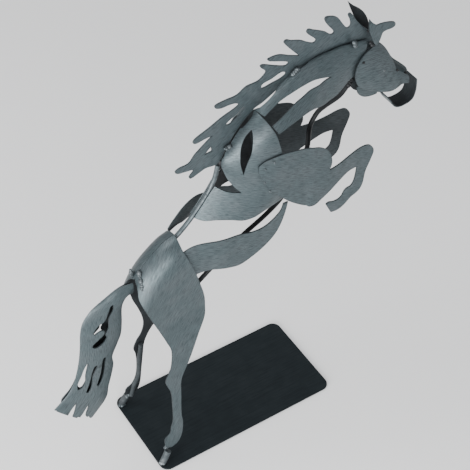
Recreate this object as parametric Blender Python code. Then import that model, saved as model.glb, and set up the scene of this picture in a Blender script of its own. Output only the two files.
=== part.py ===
"""Rearing horse of bent steel sheet and round rod on a rectangular steel plate.

Lengths are in millimetres in a side elevation: x runs forward from the plate's back edge,
y to the horse's left from its middle plane, z up from the plate's top. put() turns them into
metres from the centre of the plate's underside.
"""
import math

import bpy
from mathutils import Vector
from mathutils.geometry import delaunay_2d_cdt

PLATE_LENGTH, PLATE_WIDTH, PLATE_THICK, PLATE_CORNER = 200.0, 104.0, 2.0, 9.0
SHEET = 1.4            # steel sheet thickness
ROD = 2.25             # rod radius
HOOF = 3.5             # hoof radius
STEP = 9.0             # mesh step across a sheet
NECK_STEP, HEAD_STEP = 7.0, 6.0
EDGE_STEP = 6.0        # mesh step along a sheet's edge
FINE_EDGE_STEP = 4.0   # the same for a sheet cut into fingers
ROD_SIDES = 8
HOOF_SIDES = 12
RUNGS = 240            # places along a barrel where its crest, belly and width are held
SEAM = 0.95            # from the middle plane to the middle of a sheet's edge, where two halves meet
CREST_SEAM = 0.5       # the same on the croup, where both halves roll over level
BESIDE_MANE = 1.9      # the same where the mane stands between the halves
TUCK = 2.6             # from the middle of one sheet to that of the next where they lap
LAP = 2.2              # the same for the shoulder plates, which lie closer

STEEL = {
    "sheet": (0.085, 0.115, 0.125, 1.0),
    "rod": (0.10, 0.125, 0.135, 1.0),
    "plate": (0.012, 0.016, 0.019, 1.0),
}


# scene helpers
def clear():
    for thing in list(bpy.data.objects):
        bpy.data.objects.remove(thing, do_unlink=True)


def steel(name, kind, roughness=0.45):
    mat = bpy.data.materials.new(name)
    mat.use_nodes = True
    shader = mat.node_tree.nodes["Principled BSDF"]
    shader.inputs["Base Color"].default_value = STEEL[kind]
    shader.inputs["Metallic"].default_value = 0.7
    shader.inputs["Roughness"].default_value = roughness
    mat.diffuse_color = STEEL[kind]
    return mat


def put(x, y, z):
    return Vector(((x - PLATE_LENGTH / 2) / 1000, y / 1000, (z + PLATE_THICK) / 1000))


def solid(name, verts, faces, kind, smooth=True):
    mesh = bpy.data.meshes.new(name)
    mesh.from_pydata([put(*v) for v in verts], [], faces)
    mesh.validate()
    obj = bpy.data.objects.new(name, mesh)
    bpy.context.collection.objects.link(obj)
    mesh.materials.append(steel(name, kind))
    for poly in mesh.polygons:
        poly.use_smooth = smooth
    mesh.set_sharp_from_angle(angle=math.radians(40))
    return obj


# curves
def hermite(points, x):
    """Smooth value at x through (x, value) points, straight beyond both ends."""
    if x <= points[0][0]:
        (x0, v0), (x1, v1) = points[0], points[1]
        return v0 + (x - x0) * (v1 - v0) / (x1 - x0)
    if x >= points[-1][0]:
        (x0, v0), (x1, v1) = points[-2], points[-1]
        return v1 + (x - x1) * (v1 - v0) / (x1 - x0)
    i = max(k for k in range(len(points) - 1) if points[k][0] <= x)
    slope = [(b[1] - a[1]) / (b[0] - a[0]) for a, b in zip(points, points[1:])]
    m = [slope[0]] + [(slope[k] + slope[k + 1]) / 2 for k in range(len(slope) - 1)] + [slope[-1]]
    x0, v0 = points[i]
    x1, v1 = points[i + 1]
    h = x1 - x0
    t = (x - x0) / h
    return ((2 * t**3 - 3 * t**2 + 1) * v0 + (t**3 - 2 * t**2 + t) * h * m[i]
            + (3 * t**2 - 2 * t**3) * v1 + (t**3 - t**2) * h * m[i + 1])


def smooth_step(t):
    t = min(max(t, 0.0), 1.0)
    return t * t * (3 - 2 * t)


def rounded(points, step, closed=True):
    """Points along a smooth curve through the given ones. A point with a third value is a sharp corner."""
    n = len(points)
    corner = [len(p) > 2 for p in points]
    pos = [Vector(p[:2]) for p in points]
    out = []
    for i in range(n if closed else n - 1):
        a, b = pos[i], pos[(i + 1) % n]
        before = a if (corner[i] or (not closed and i == 0)) else pos[i - 1]
        after = b if (corner[(i + 1) % n] or (not closed and i == n - 2)) else pos[(i + 2) % n]
        length = (b - a).length
        start = (b - before).normalized() * length if before != a else (b - a)
        end = (after - a).normalized() * length if after != b else (b - a)
        if before == a and after != b:
            start = ((b - a) * 1.5 - end * 0.5)
        if after == b and before != a:
            end = ((b - a) * 1.5 - start * 0.5)
        count = max(1, round(length / step))
        for k in range(count):
            t = k / count
            out.append((2 * t**3 - 3 * t**2 + 1) * a + (t**3 - 2 * t**2 + t) * start
                       + (3 * t**2 - 2 * t**3) * b + (t**3 - t**2) * end)
    if not closed:
        out.append(pos[-1])
    return out


def inside(point, ring):
    hit = False
    j = len(ring) - 1
    for i in range(len(ring)):
        a, b = ring[i], ring[j]
        if (a[1] > point[1]) != (b[1] > point[1]):
            if point[0] < (b[0] - a[0]) * (point[1] - a[1]) / (b[1] - a[1]) + a[0]:
                hit = not hit
        j = i
    return hit


def clearance(point, ring):
    best = 1e9
    for i in range(len(ring)):
        a, b = ring[i - 1], ring[i]
        ab = b - a
        t = min(max((point - a).dot(ab) / max(ab.dot(ab), 1e-9), 0), 1)
        best = min(best, (a + ab * t - point).length)
    return best


# surfaces that sheets are bent to
class Field:
    """A sheet whose sideways place is a plain function of its side elevation."""

    def __init__(self, across):
        self.across = across

    def flat(self, x, z):
        return x, z

    def bend(self, u, v):
        return u, self.across(u, v), v


class Barrel:
    """Half of a rounded body between a crest line and a belly line, widest half way down."""

    def __init__(self, crest, belly, widths, powers, offset):
        self.n = RUNGS
        self.crest = [Vector(p) for p in zip(*(self.even(values) for values in zip(*crest)))]
        self.belly = [Vector(p) for p in zip(*(self.even(values) for values in zip(*belly)))]
        self.width, self.power, self.offset = self.even(widths), self.even(powers), offset
        middle = [(c + b) / 2 for c, b in zip(self.crest, self.belly)]
        self.length = sum((b - a).length for a, b in zip(middle, middle[1:]))
        self.depth = sum((self.crest[i] - self.belly[i]).length for i in range(self.n + 1)) / (self.n + 1)

    def even(self, values):
        """A smooth table through values that are spaced evenly along the barrel."""
        places = [(i / (len(values) - 1), value) for i, value in enumerate(values)]
        return [hermite(places, k / self.n) for k in range(self.n + 1)]

    def pick(self, table, u):
        k = min(max(u, 0), 1) * self.n
        i = min(int(k), self.n - 1)
        return table[i] * (1 - k + i) + table[i + 1] * (k - i)

    def solve(self, x, z):
        p = Vector((x, z))

        def side(i):
            rung = self.belly[i] - self.crest[i]
            q = p - self.crest[i]
            return (q.x * rung.y - q.y * rung.x) / rung.length

        i = min(range(self.n + 1), key=lambda k: abs(side(k)))
        here = side(i)
        best = i
        for j in (i - 1, i + 1):
            if 0 <= j <= self.n and side(j) * here < 0:
                best = i + (j - i) * abs(here) / (abs(here) + abs(side(j)))
        u = best / self.n
        rung = self.pick(self.belly, u) - self.pick(self.crest, u)
        return u, (p - self.pick(self.crest, u)).dot(rung) / rung.dot(rung)

    def flat(self, x, z):
        u, t = self.solve(x, z)
        t = min(max(t, 0), 1)
        return u * self.length, math.acos(1 - 2 * t) * self.depth / 2

    def bend(self, u, v):
        u /= self.length
        angle = min(max(v / (self.depth / 2), 0), math.pi)
        c, b = self.pick(self.crest, u), self.pick(self.belly, u)
        p = c + (b - c) * (1 - math.cos(angle)) / 2
        power = self.pick(self.power, u)
        bulge = max(0, 1 - abs(math.cos(angle)) ** power) ** (1 / power)
        return p.x, self.pick(self.width, u) * bulge + self.offset, p.y

    def across(self, x, z):
        return self.bend(*self.flat(x, z))[1]


class Drape:
    """A sheet hung from a crest line: it rolls over within a fold, then hangs and spreads outward."""

    def __init__(self, crest, fold, width, spread, offset):
        self.crest, self.fold, self.width, self.spread, self.offset = crest, fold, width, spread, offset

    def flat(self, x, z):
        drop = max(0.0, hermite(self.crest, x) - z)
        if drop < self.fold:
            return x, self.fold * math.acos(1 - drop / self.fold)
        return x, self.fold * math.pi / 2 + drop - self.fold

    def bend(self, u, v):
        angle = min(v / self.fold, math.pi / 2)
        drop = self.fold * (1 - math.cos(angle)) + max(0, v - self.fold * math.pi / 2)
        z = hermite(self.crest, u) - drop
        return u, self.offset + self.width * math.sin(angle) + self.spread(z), z

    def across(self, x, z):
        return self.bend(*self.flat(x, z))[1]


# sheet and rod makers
def sheet(name, outline, surface, side=1, holes=(), thick=SHEET, step=STEP, edge=EDGE_STEP):
    """Closed bent sheet. outline and holes are in side elevation; side is +1 left, -1 right."""
    rings = [[Vector(surface.flat(*p)) for p in rounded(line, edge)] for line in (outline, *holes)]
    points = [p for ring in rings for p in ring]
    edges = []
    start = 0
    for ring in rings:
        edges += [(start + i, start + (i + 1) % len(ring)) for i in range(len(ring))]
        start += len(ring)
    low = Vector((min(p.x for p in rings[0]), min(p.y for p in rings[0])))
    high = Vector((max(p.x for p in rings[0]), max(p.y for p in rings[0])))
    row = 0
    v = low.y + step / 2
    while v < high.y:
        u = low.x + (step / 2 if row % 2 else 0)
        while u < high.x:
            p = Vector((u, v))
            if inside(p, rings[0]) and not any(inside(p, r) for r in rings[1:]):
                if min(clearance(p, r) for r in rings) > 0.5 * step:
                    points.append(p)
            u += step
        v += step * 0.866
        row += 1
    flat, _, tris, *_ = delaunay_2d_cdt(points, edges, [], 0, 1e-5)
    keep = []
    for tri in tris:
        mid = sum((flat[i] for i in tri), Vector((0, 0))) / 3
        if inside(mid, rings[0]) and not any(inside(mid, r) for r in rings[1:]):
            keep.append(tuple(tri))
    used = sorted({i for tri in keep for i in tri})
    index = {old: new for new, old in enumerate(used)}
    mid = [Vector(surface.bend(*flat[i])) for i in used]
    tris = [tuple(index[i] for i in tri) for tri in keep]
    normal = [Vector() for _ in mid]
    for a, b, c in tris:
        n = (mid[b] - mid[a]).cross(mid[c] - mid[a])
        for i in (a, b, c):
            normal[i] += n
    normal = [n.normalized() * thick / 2 for n in normal]
    count = len(mid)
    verts = [p + n for p, n in zip(mid, normal)] + [p - n for p, n in zip(mid, normal)]
    faces = [t for t in tris] + [(c + count, b + count, a + count) for a, b, c in tris]
    border = {}
    for a, b, c in tris:
        for i, j in ((a, b), (b, c), (c, a)):
            border[(i, j)] = True
    faces += [(j, i, i + count, j + count) for (i, j) in border if (j, i) not in border]
    if side < 0:
        verts = [Vector((p.x, -p.y, p.z)) for p in verts]
        faces = [tuple(reversed(f)) for f in faces]
    return solid(name, verts, faces, "sheet")


def path3(points, step):
    """Smooth path through (x, y, z) points."""
    n = len(points)
    pos = [Vector(p) for p in points]
    out = []
    for i in range(n - 1):
        a, b = pos[i], pos[i + 1]
        length = (b - a).length
        start = ((b - pos[i - 1]).normalized() if i > 0 else (b - a).normalized()) * length
        end = ((pos[i + 2] - a).normalized() if i < n - 2 else (b - a).normalized()) * length
        count = max(1, round(length / step))
        for k in range(count):
            t = k / count
            out.append((2 * t**3 - 3 * t**2 + 1) * a + (t**3 - 2 * t**2 + t) * start
                       + (3 * t**2 - 2 * t**3) * b + (t**3 - t**2) * end)
    out.append(pos[-1])
    return out


def rod(name, points, radius=ROD, step=9.0, sides=ROD_SIDES, kind="rod"):
    line = path3(points, step)
    verts, faces = [], []
    across = Vector((0, 1, 0))
    for i, p in enumerate(line):
        along = (line[min(i + 1, len(line) - 1)] - line[max(i - 1, 0)]).normalized()
        a = (across - along * across.dot(along)).normalized()
        b = along.cross(a)
        for k in range(sides):
            turn = 2 * math.pi * k / sides
            verts.append(p + (a * math.cos(turn) + b * math.sin(turn)) * radius)
    for i in range(len(line) - 1):
        for k in range(sides):
            p, q = i * sides + k, i * sides + (k + 1) % sides
            faces.append((p, q, q + sides, p + sides))
    faces.append(tuple(reversed(range(sides))))
    last = (len(line) - 1) * sides
    faces.append(tuple(range(last, last + sides)))
    return solid(name, verts, faces, kind)


def band(name, path, half_width, thick=SHEET, step=5.0):
    """Strip bent to a path in side elevation, reaching evenly to both sides of the middle plane."""
    line = rounded(path, step, closed=False)
    verts, faces = [], []
    for i, p in enumerate(line):
        along = (line[min(i + 1, len(line) - 1)] - line[max(i - 1, 0)]).normalized()
        out = Vector((-along.y, along.x)) * thick / 2
        for q, y in ((p + out, -1), (p + out, 1), (p - out, 1), (p - out, -1)):
            verts.append(Vector((q.x, y * half_width, q.y)))
    for i in range(len(line) - 1):
        for k in range(4):
            a, b = i * 4 + k, i * 4 + (k + 1) % 4
            faces.append((a, a + 4, b + 4, b))
    faces.append((0, 1, 2, 3))
    last = (len(line) - 1) * 4
    faces.append((last + 3, last + 2, last + 1, last))
    return solid(name, verts, faces, "sheet")


# Body surfaces
TORSO_CREST = [(24, 246), (42, 256.5), (59, 266), (70.3, 276.2), (79.8, 288), (89, 300.2), (98.5, 315),
               (101.5, 329.5), (110, 342.5), (120, 355.5), (134, 368.5), (150, 380)]
TORSO_BELLY = [(50, 165), (66, 176), (84, 190), (104, 206), (125, 221), (146, 234), (166, 248),
               (181, 268), (191, 290), (195, 315), (196, 330), (202, 342)]
TORSO_HALF_WIDTHS = [21.5, 22.5, 23, 23.5, 23.5, 24, 24.5, 25.5, 26.5, 26.5, 24.5, 21.5]
# How full each body's section is: 1 is a straight-sided ridge, 2 an ellipse
TORSO_POWERS = [1.2, 1.2, 1.2, 1.2, 1.2, 1.25, 1.4, 1.75, 2.1, 2.2, 2.2, 2.2]
NECK_POWERS, HEAD_POWERS, TAIL_POWERS = [2.2, 2.2], [1.7, 1.7], [1.6, 1.6]
CROUP_CREST = [(0, 199), (4.5, 214), (8, 223.5), (14.5, 234.5), (21, 242.5), (33, 253), (42, 259),
               (52, 262.5), (62, 268)]
CROUP_FOLD = 28.0
CROUP_HALF_WIDTH = 19.2
HOCK_HEIGHT = 175.0
LEG_SPREAD = 21.6
NECK_CREST = [(125, 362), (134, 370.5), (157, 385), (188, 398.5), (222, 401), (250, 397)]
NECK_BELLY = [(160, 240), (190, 290), (194.5, 322), (208, 338), (226, 344), (240, 362)]
NECK_HALF_WIDTHS = [26.5, 25, 18, 11, 6.5, 4.2]
HEAD_CREST = [(244, 404), (262, 389), (273, 377), (283, 361), (293, 350.5), (301, 342), (308, 330),
              (314, 317)]
HEAD_BELLY = [(225, 350), (238, 341), (252, 330), (266, 322), (280, 314), (292, 310), (300, 309),
              (306, 309)]
HEAD_HALF_WIDTHS = [8.6, 9.4, 9.5, 9.5, 9, 8.5, 8, 7.5]
TAIL_BACK = [(9.5, 231), (-8.5, 228), (-22, 222), (-36, 215), (-45, 205), (-49, 191.5), (-51, 173),
             (-54, 154.5), (-58, 139), (-63, 125.5), (-70, 115.5), (-84.5, 103.5)]
TAIL_FRONT = [(7.5, 213.5), (0, 211), (-4.5, 204), (-5.5, 196.5), (-6, 183.5), (-8.5, 167.5),
              (-13.5, 155.5), (-18.5, 142.5), (-18.5, 131.5), (-21, 119), (-28, 90.5), (-50.5, 64)]
TAIL_HALF_WIDTHS = [3, 4.5, 5.5, 5.5, 5.5, 5.5, 5.5, 5.5, 5, 4.5, 4, 3]

TORSO = Barrel(TORSO_CREST, TORSO_BELLY, TORSO_HALF_WIDTHS, TORSO_POWERS, BESIDE_MANE)
NECK = Barrel(NECK_CREST, NECK_BELLY, NECK_HALF_WIDTHS, NECK_POWERS, BESIDE_MANE)
HEAD = Barrel(HEAD_CREST, HEAD_BELLY, HEAD_HALF_WIDTHS, HEAD_POWERS, SEAM)
TAIL = Barrel(TAIL_BACK, TAIL_FRONT, TAIL_HALF_WIDTHS, TAIL_POWERS, SEAM)


def leg_spread(z):
    """How far a hind leg stands out from the haunch's side at height z."""
    return LEG_SPREAD * max(0.0, 1 - z / HOCK_HEIGHT)


HAUNCH = Drape(CROUP_CREST, CROUP_FOLD, CROUP_HALF_WIDTH, leg_spread, CREST_SEAM)
UNDER_HAUNCH = Drape([(x, z - TUCK) for x, z in CROUP_CREST], CROUP_FOLD - TUCK, CROUP_HALF_WIDTH - TUCK,
                     leg_spread, CREST_SEAM)


def outside_torso(x, z, lift):
    """Sideways place on the barrel's upper half, carried straight down below its widest line."""
    u, t = TORSO.solve(x, z)
    widest = TORSO.pick(TORSO.width, u) + TORSO.offset
    return (TORSO.across(x, z) if t < 0.5 else widest) + lift


def shoulder_y(x, z):
    """Shoulder plate over the shell, with the knee and hoof drawn in toward the middle plane."""
    toward_knee = smooth_step((x - ELBOW_X) / FOREARM)
    toward_hoof = smooth_step((HOOF_BEND_Z - z) / HOOF_BEND) if x > ELBOW_X else 0.0
    inward = max(toward_knee, toward_hoof)
    plate = outside_torso(x, z, LAP) if x < SHOULDER_FRONT else SHOULDER_Y
    return plate + (KNEE_Y - plate) * inward


def flank_y(x, z):
    """Strip under the haunch's front edge that eases out to lie just inside the barrel's widest line."""
    out = smooth_step((x - HAUNCH_FRONT) / FLANK_EASE)
    widest = TORSO.pick(TORSO.width, TORSO.solve(x, z)[0]) + TORSO.offset
    return (1 - out) * UNDER_HAUNCH.across(x, z) + out * (widest - TUCK)


def far_flank_y(x, z):
    """Strip that runs upright from the far haunch past the barrel's ridge and then laps its outside."""
    out = smooth_step((x - FAR_FLANK_REAR) / FAR_FLANK_EASE)
    y = FAR_FLANK_REAR_Y + (FAR_FLANK_FRONT_Y - FAR_FLANK_REAR_Y) * out
    return max(y, outside_torso(x, z, TUCK))


# Where those surfaces change, along x or up z
ELBOW_X, FOREARM = 190.0, 50.0
HOOF_BEND_Z, HOOF_BEND = 258.0, 6.0
SHOULDER_FRONT, SHOULDER_Y, KNEE_Y = 175.0, 30.6, 25.0
HAUNCH_FRONT, FLANK_EASE = 60.0, 35.0
FAR_FLANK_REAR, FAR_FLANK_EASE, FAR_FLANK_REAR_Y, FAR_FLANK_FRONT_Y = 50.0, 45.0, 12.0, 21.0

# Outlines, each drawn once in side elevation
TORSO_OUTLINE = [(134.5, 369, 1), (120, 355.5), (109.7, 343), (104.5, 335), (101.5, 329.5, 1),
                 (100, 325), (100.8, 317.6), (102.2, 311), (104.2, 306.6), (106.5, 302.6),
                 (111, 297, 1), (100.9, 298.1), (92.5, 303, 1), (86.3, 295), (80.5, 287.3),
                 (71, 275.3, 1), (77.1, 272.8), (87.2, 272.7), (99, 271.2), (108.4, 268.8),
                 (114.7, 268.8), (129.6, 270.9), (151, 272, 1), (150.2, 299.7), (147.5, 320),
                 (146, 333), (144, 344), (142, 354), (139, 361.5), (136.5, 366.5)]
LEAF_SLOT = [(125.5, 358.5, 1), (119.5, 352.5), (114.6, 344.4), (112.3, 337), (111.3, 328.7),
             (112.9, 318.1, 1), (115.6, 328.9), (119.7, 338.7), (123, 350)]
FLANK_OUTLINE = [(44, 243, 1), (54, 251), (69, 254.5), (84, 254), (107, 251.5), (119.5, 248),
                 (131, 248), (141, 252.5), (149, 260), (151.5, 268, 1), (156.5, 268, 1), (152.5, 250),
                 (145, 234), (134, 223.5), (119.5, 216), (105.5, 212.5), (92.5, 215.5), (76, 219.5),
                 (62, 219, 1), (52, 232)]
FAR_FLANK_OUTLINE = [(53.4, 260.4, 1), (60.7, 267), (68, 271.5), (76, 274), (85.7, 275), (94.5, 273.8),
                     (104, 270.3), (112, 266.8), (120.5, 263), (129, 259.5), (138, 262), (146, 271),
                     (154, 280, 1), (154, 260, 1), (144, 246), (130, 240.5), (115, 243.5), (98, 249),
                     (82.4, 251.5), (73.3, 253.8),
                     (64.3, 257), (58.5, 256.9), (54.3, 255.2, 1)]
HAUNCH_TOP = [(51.5, 263, 1), (42, 259.6), (33, 253.7), (21, 243.3), (14.5, 235.3), (9.5, 226.5, 1),
              (7.5, 219), (6.5, 213)]
LEG_OUTLINE = HAUNCH_TOP + [(8, 205), (14.5, 185.5), (21.5, 166), (26.5, 151), (30, 138), (27, 118),
                            (22, 109), (19.5, 103.5), (20.5, 97.5), (23.5, 86.5), (23, 68), (21.5, 49),
                            (18.5, 41), (17, 34.5), (10.5, 29.5), (9.5, 22), (11, 16.5, 1),
                            (16, 14.5, 1), (23.5, 17.5), (29, 26), (32, 42), (31.5, 52), (34, 79),
                            (35.5, 94), (38, 102), (43.5, 111.5), (50.5, 124.5), (60, 145),
                            (68.5, 163.5), (70, 179.5), (69, 192), (65, 209.5), (62, 222, 1),
                            (58.5, 233), (54.5, 245.5), (51.5, 255)]
FAR_LEG_OUTLINE = HAUNCH_TOP + [(8, 204), (12.5, 190), (15.5, 177), (20.5, 162.5), (25.5, 144.5),
                                (27, 131), (24.5, 117.5), (19.5, 108), (16.5, 96), (18.5, 87),
                                (20, 72.5), (19.5, 48), (15, 34), (8.5, 29), (7.5, 22), (10.5, 16.5, 1),
                                (16, 14.5, 1), (21.5, 20), (24.5, 32), (25.5, 49.5), (27, 81.5),
                                (28.5, 101), (34.5, 118), (45, 133), (57, 150), (66, 166), (70, 181),
                                (69, 193), (65, 209.5), (62, 222, 1), (58.5, 233), (54.5, 245.5),
                                (51.5, 255)]
FORELEG_OUTLINE = [(123.5, 326.5, 1), (130, 332), (146, 335), (162.5, 332), (176, 328), (185.5, 324),
                   (193, 317), (197, 308.5), (198.5, 300), (196, 292, 1), (208, 292.5), (224.5, 295.5),
                   (235, 297), (243.5, 295.5), (248.5, 289.5), (249.5, 284.5), (247, 276.5),
                   (242, 263.5), (240, 250), (237, 243.5), (232, 240), (227, 238), (220, 232),
                   (213, 229), (205, 229.5, 1), (198.5, 243, 1), (201.5, 244.5), (208, 242.5),
                   (215, 244), (219.5, 251), (227, 256), (229.5, 262.5), (231, 275, 1), (220.5, 275.5),
                   (210, 271.5), (199, 265.5), (189, 260), (181.5, 256), (173.5, 258), (163.5, 265),
                   (153.5, 274), (144.5, 284), (137, 292.5), (132.5, 298), (128.5, 307), (124, 318)]
NECK_OUTLINE = [(134, 370.5, 1), (146.5, 378.5), (157, 385), (170, 392), (188, 398.5), (198, 400.5),
                (210, 401), (222, 401), (235, 399.5), (249, 397, 1), (246, 389.5), (242, 383.5),
                (241, 376), (239.5, 369.5), (227.5, 364.5), (222.5, 360.5), (214, 355.5), (207.5, 355),
                (199, 354.5), (192.5, 356), (183, 358.5), (171, 358.5), (157, 356.5), (145, 353, 1),
                (140.5, 361, 1), (148.5, 365), (157.5, 369.5), (167, 374), (174, 376), (182.5, 378.5),
                (193.5, 378.5), (200, 380), (207, 380, 1), (195, 384), (186.5, 385.5), (175.5, 384.5),
                (165, 382), (154.5, 378.5), (146, 374), (137.5, 368.5, 1)]
MANE_OUTLINE = [(102.5, 331.5, 1), (96.5, 325), (85, 325.5), (77, 323), (70, 321), (68.5, 323.5),
                (73, 329), (71, 330.5, 1), (64, 331.5), (57, 333), (55, 336), (59, 338.5), (68.5, 339.5),
                (75, 346.5), (87, 355.5), (93, 359.5, 1), (84, 359), (77.5, 358), (74, 359),
                (73.5, 361.5), (76, 364), (89.5, 369.5), (101.5, 375), (116, 380), (119, 382, 1),
                (115.5, 384.5), (109.5, 385.5), (101.5, 385.5), (97, 387), (95, 389.5), (96.5, 391.5),
                (106.5, 392.5), (117, 393), (126, 398), (138, 399), (145, 404), (145, 406.5),
                (140.5, 411.5), (139.5, 413.5), (142, 414.5), (155, 408), (166, 403.5), (168, 406),
                (152, 413.5), (148, 415.5), (147, 418), (158, 418), (169.5, 412.5), (178.5, 408.5, 1),
                (172.5, 415.5), (163.5, 427), (163, 429.5), (165.5, 430.5), (170, 428), (180, 424),
                (186.5, 419.5), (193, 416), (195.5, 417), (194.5, 419.5), (185.5, 429.5), (187, 432.5),
                (192, 430), (204.5, 423), (211, 417.5), (214, 418), (213.5, 420), (206.5, 429.5),
                (203.5, 436), (205.5, 438), (216, 433.5), (223.5, 423), (228, 417.5), (231, 418.5),
                (230.5, 424.5), (228, 431), (230.5, 432), (237.5, 421.5), (244, 413), (250.5, 406.5),
                (253.5, 400), (257, 390.5), (255.5, 386.5, 1), (246, 392.5), (230, 397), (210, 397.5),
                (188, 394.5), (170, 388), (157, 381), (143, 373.5), (134, 370.2), (119, 356.6),
                (109, 343.6)]
MANE_SLOTS = [[(141, 391), (152.5, 395.5), (162.5, 398), (165.5, 394), (152.5, 390.5)],
              [(106, 366), (116, 372), (124.5, 377), (119, 369.5), (109, 364.5)],
              [(84, 341.5, 1), (91, 348, 1), (91.5, 342.5, 1)]]
TAIL_FRONT_EDGE = [(-30.5, 90.5), (-28.5, 103.5), (-23.5, 120), (-21, 133), (-21.5, 145), (-15.5, 158),
                   (-10.5, 169.5), (-8.5, 185.5), (-8, 199), (-7, 210), (-2, 217), (5, 216.5, 1)]
TAIL_OUTLINE = [(6, 228, 1), (-8.5, 228), (-22, 222), (-36, 215), (-45, 205), (-49, 191.5), (-51, 173),
                (-54, 154.5), (-58, 139), (-63, 125.5), (-70, 116.5), (-78, 111), (-84.5, 107, 1),
                (-85, 103.5, 1), (-82.6, 102.5, 1), (-84, 100.6, 1), (-80.8, 98.5, 1), (-81.8, 93.2, 1),
                (-80.6, 91, 1), (-78.3, 92.2, 1), (-79, 89.5, 1), (-77, 86.8, 1), (-74, 89.2),
                (-69, 96), (-63, 102.7, 1), (-65, 95.7), (-67.5, 88), (-70.3, 83, 1), (-69.5, 79.5, 1),
                (-66.5, 79.2), (-63.6, 81.4, 1), (-61.3, 79, 1), (-58, 83), (-51.1, 93.7, 1),
                (-52.5, 86.7), (-54.7, 80), (-55, 75.5), (-53, 72.5, 1), (-51.8, 74.5, 1),
                (-50.5, 68), (-46.5, 67.5), (-37, 77.5)] + TAIL_FRONT_EDGE
FAR_TAIL_OUTLINE = [(6, 225.5, 1), (-8, 225.5), (-20.5, 219.8), (-34, 213), (-42.5, 203.5), (-46.3, 191),
                    (-48.3, 173), (-51.3, 155), (-55.3, 140), (-60, 127), (-66.5, 118), (-74, 112),
                    (-76, 105, 1), (-68, 103.5), (-58, 106), (-47, 98), (-39, 95, 1)] + TAIL_FRONT_EDGE[1:]
TAIL_SLOTS = [[(-17.5, 215.5), (-17.5, 209.5), (-22.5, 200.5), (-23.5, 189), (-27.3, 181), (-25.7, 177.5, 1),
               (-30, 172), (-38, 169), (-40.8, 172.5), (-34.5, 178.5), (-28.5, 183.5), (-29, 189),
               (-37.5, 186.5, 1), (-38.5, 189.5, 1), (-33, 196.5), (-26.5, 200), (-22, 209)],
              [(-46.3, 153, 1), (-50, 147), (-54, 137), (-59, 125.5), (-59.8, 119.5, 1), (-55.5, 120.8),
               (-52, 127), (-50.8, 136), (-48, 147.5)],
              [(-38.2, 144.6), (-41, 144.8), (-43.4, 139.5), (-46.2, 129.5), (-49, 120.6),
               (-52.4, 112.8, 1), (-50, 111.3), (-46.5, 118), (-43.8, 131.5), (-40.6, 139)],
              [(-29.2, 150.3), (-31.6, 151), (-33.7, 144.2), (-34.8, 137), (-37, 127.6),
               (-40.9, 116.7, 1), (-39.2, 114.2), (-35.5, 119.5), (-32.8, 128), (-31.4, 135), (-30.4, 143.2)]]
FACE_BACK = [(297.6, 330.3), (288.1, 335.8), (283.6, 334.8), (277.6, 333.3), (271.1, 334.3), (257.6, 339.8),
             (246, 347.5), (238.1, 355.5), (233.6, 368.7), (235, 378.3), (240.2, 385.5), (247.6, 389)]
FACE_OUTLINE = [(256.9, 389.6, 1), (263.6, 386.7), (271.5, 377), (276.8, 367), (280.5, 358), (281.7, 353.4),
                (287.1, 348.9), (292.9, 343.7), (297.7, 338.6), (296.8, 332.5, 1)] + FACE_BACK[1:]
FAR_FACE_OUTLINE = [(256.9, 389.6, 1), (263.6, 386.7), (273.2, 376.3), (283.1, 360.3), (293.1, 349.9),
                    (301, 341.2), (304.6, 334.5, 1), (303.5, 328.2, 1)] + FACE_BACK
JAW_OUTLINE = [(240, 351, 1), (240, 347), (242.5, 341), (248, 336), (255, 333.5), (263, 333, 1),
               (264, 336.5, 1), (257, 342), (247, 349)]
MUZZLE_PATH = [(268.6, 331.6), (276.5, 322), (283.5, 311), (288.5, 307.5), (296, 307), (304, 309.5),
               (307, 316.5), (307.5, 324), (306.9, 332)]
MUZZLE_HALF_WIDTH = 8.0
FAR_EAR_OUTLINE = [(233, 438, 1), (239, 431.5), (247, 424.5), (252.5, 417.5), (256.5, 409), (258, 401),
                   (256.5, 396, 1), (249, 406.5), (242.5, 416), (237, 428)]
NEAR_EAR_OUTLINE = [(246, 423.5, 1), (250, 418), (254.5, 414, 1), (262, 413.5), (270, 411.5),
                    (274.5, 409), (275, 405.5), (272, 404), (262.5, 403.5), (260.5, 399), (259, 395),
                    (256.5, 391.5), (254, 393.5), (250, 402), (246.5, 412)]
SPINE_PATH = [(20, 0, 234), (29, 0, 243.5), (44, 0, 253), (54, 0, 260), (60, 0, 265.5), (65, 0, 271.5),
              (70, 0, 277.5), (75, 0, 282.8), (79, 0, 288.5), (83.5, 0, 294.8), (87.5, 0, 301),
              (91.5, 0, 307.5), (94.5, 0, 315.3), (96.5, 0, 323)]
BELLY_PATH = [(65, 0, 179), (81, 0, 191), (103, 0, 207.5), (124.5, 0, 222), (148, 0, 234.5),
              (165.5, 0, 247.5), (181, 0, 268), (192.5, 0, 297.5), (194.5, 0, 322), (201.5, 0, 334.5),
              (209, 0, 338.5), (225, 0, 343.5), (232, 0, 350)]
LEG_ROD_PATH = [(28, -25, 101), (27.5, -28.3, 76), (27, -31.8, 47), (22, -33.6, 32),
                (14, -35.6, 17.5)]
FAR_LEG_ROD_PATH = [(22.5, 24.6, 104), (21, 28, 78), (20.5, 31.4, 50), (16, 33.4, 35),
                    (12.5, 35.6, 17.5)]
HOOF_PATH = [(11, 41.3, 14), (4, 42.5, 2.1)]
JAW_Y, NEAR_EAR_Y, FAR_EAR_Y = 5.2, 7.0, 8.0
FAR_FORELEG_SHIFT = (9.0, 3.0)


def shifted(outline, shift):
    return [(p[0] + shift[0], p[1] + shift[1], *p[2:]) for p in outline]


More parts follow.
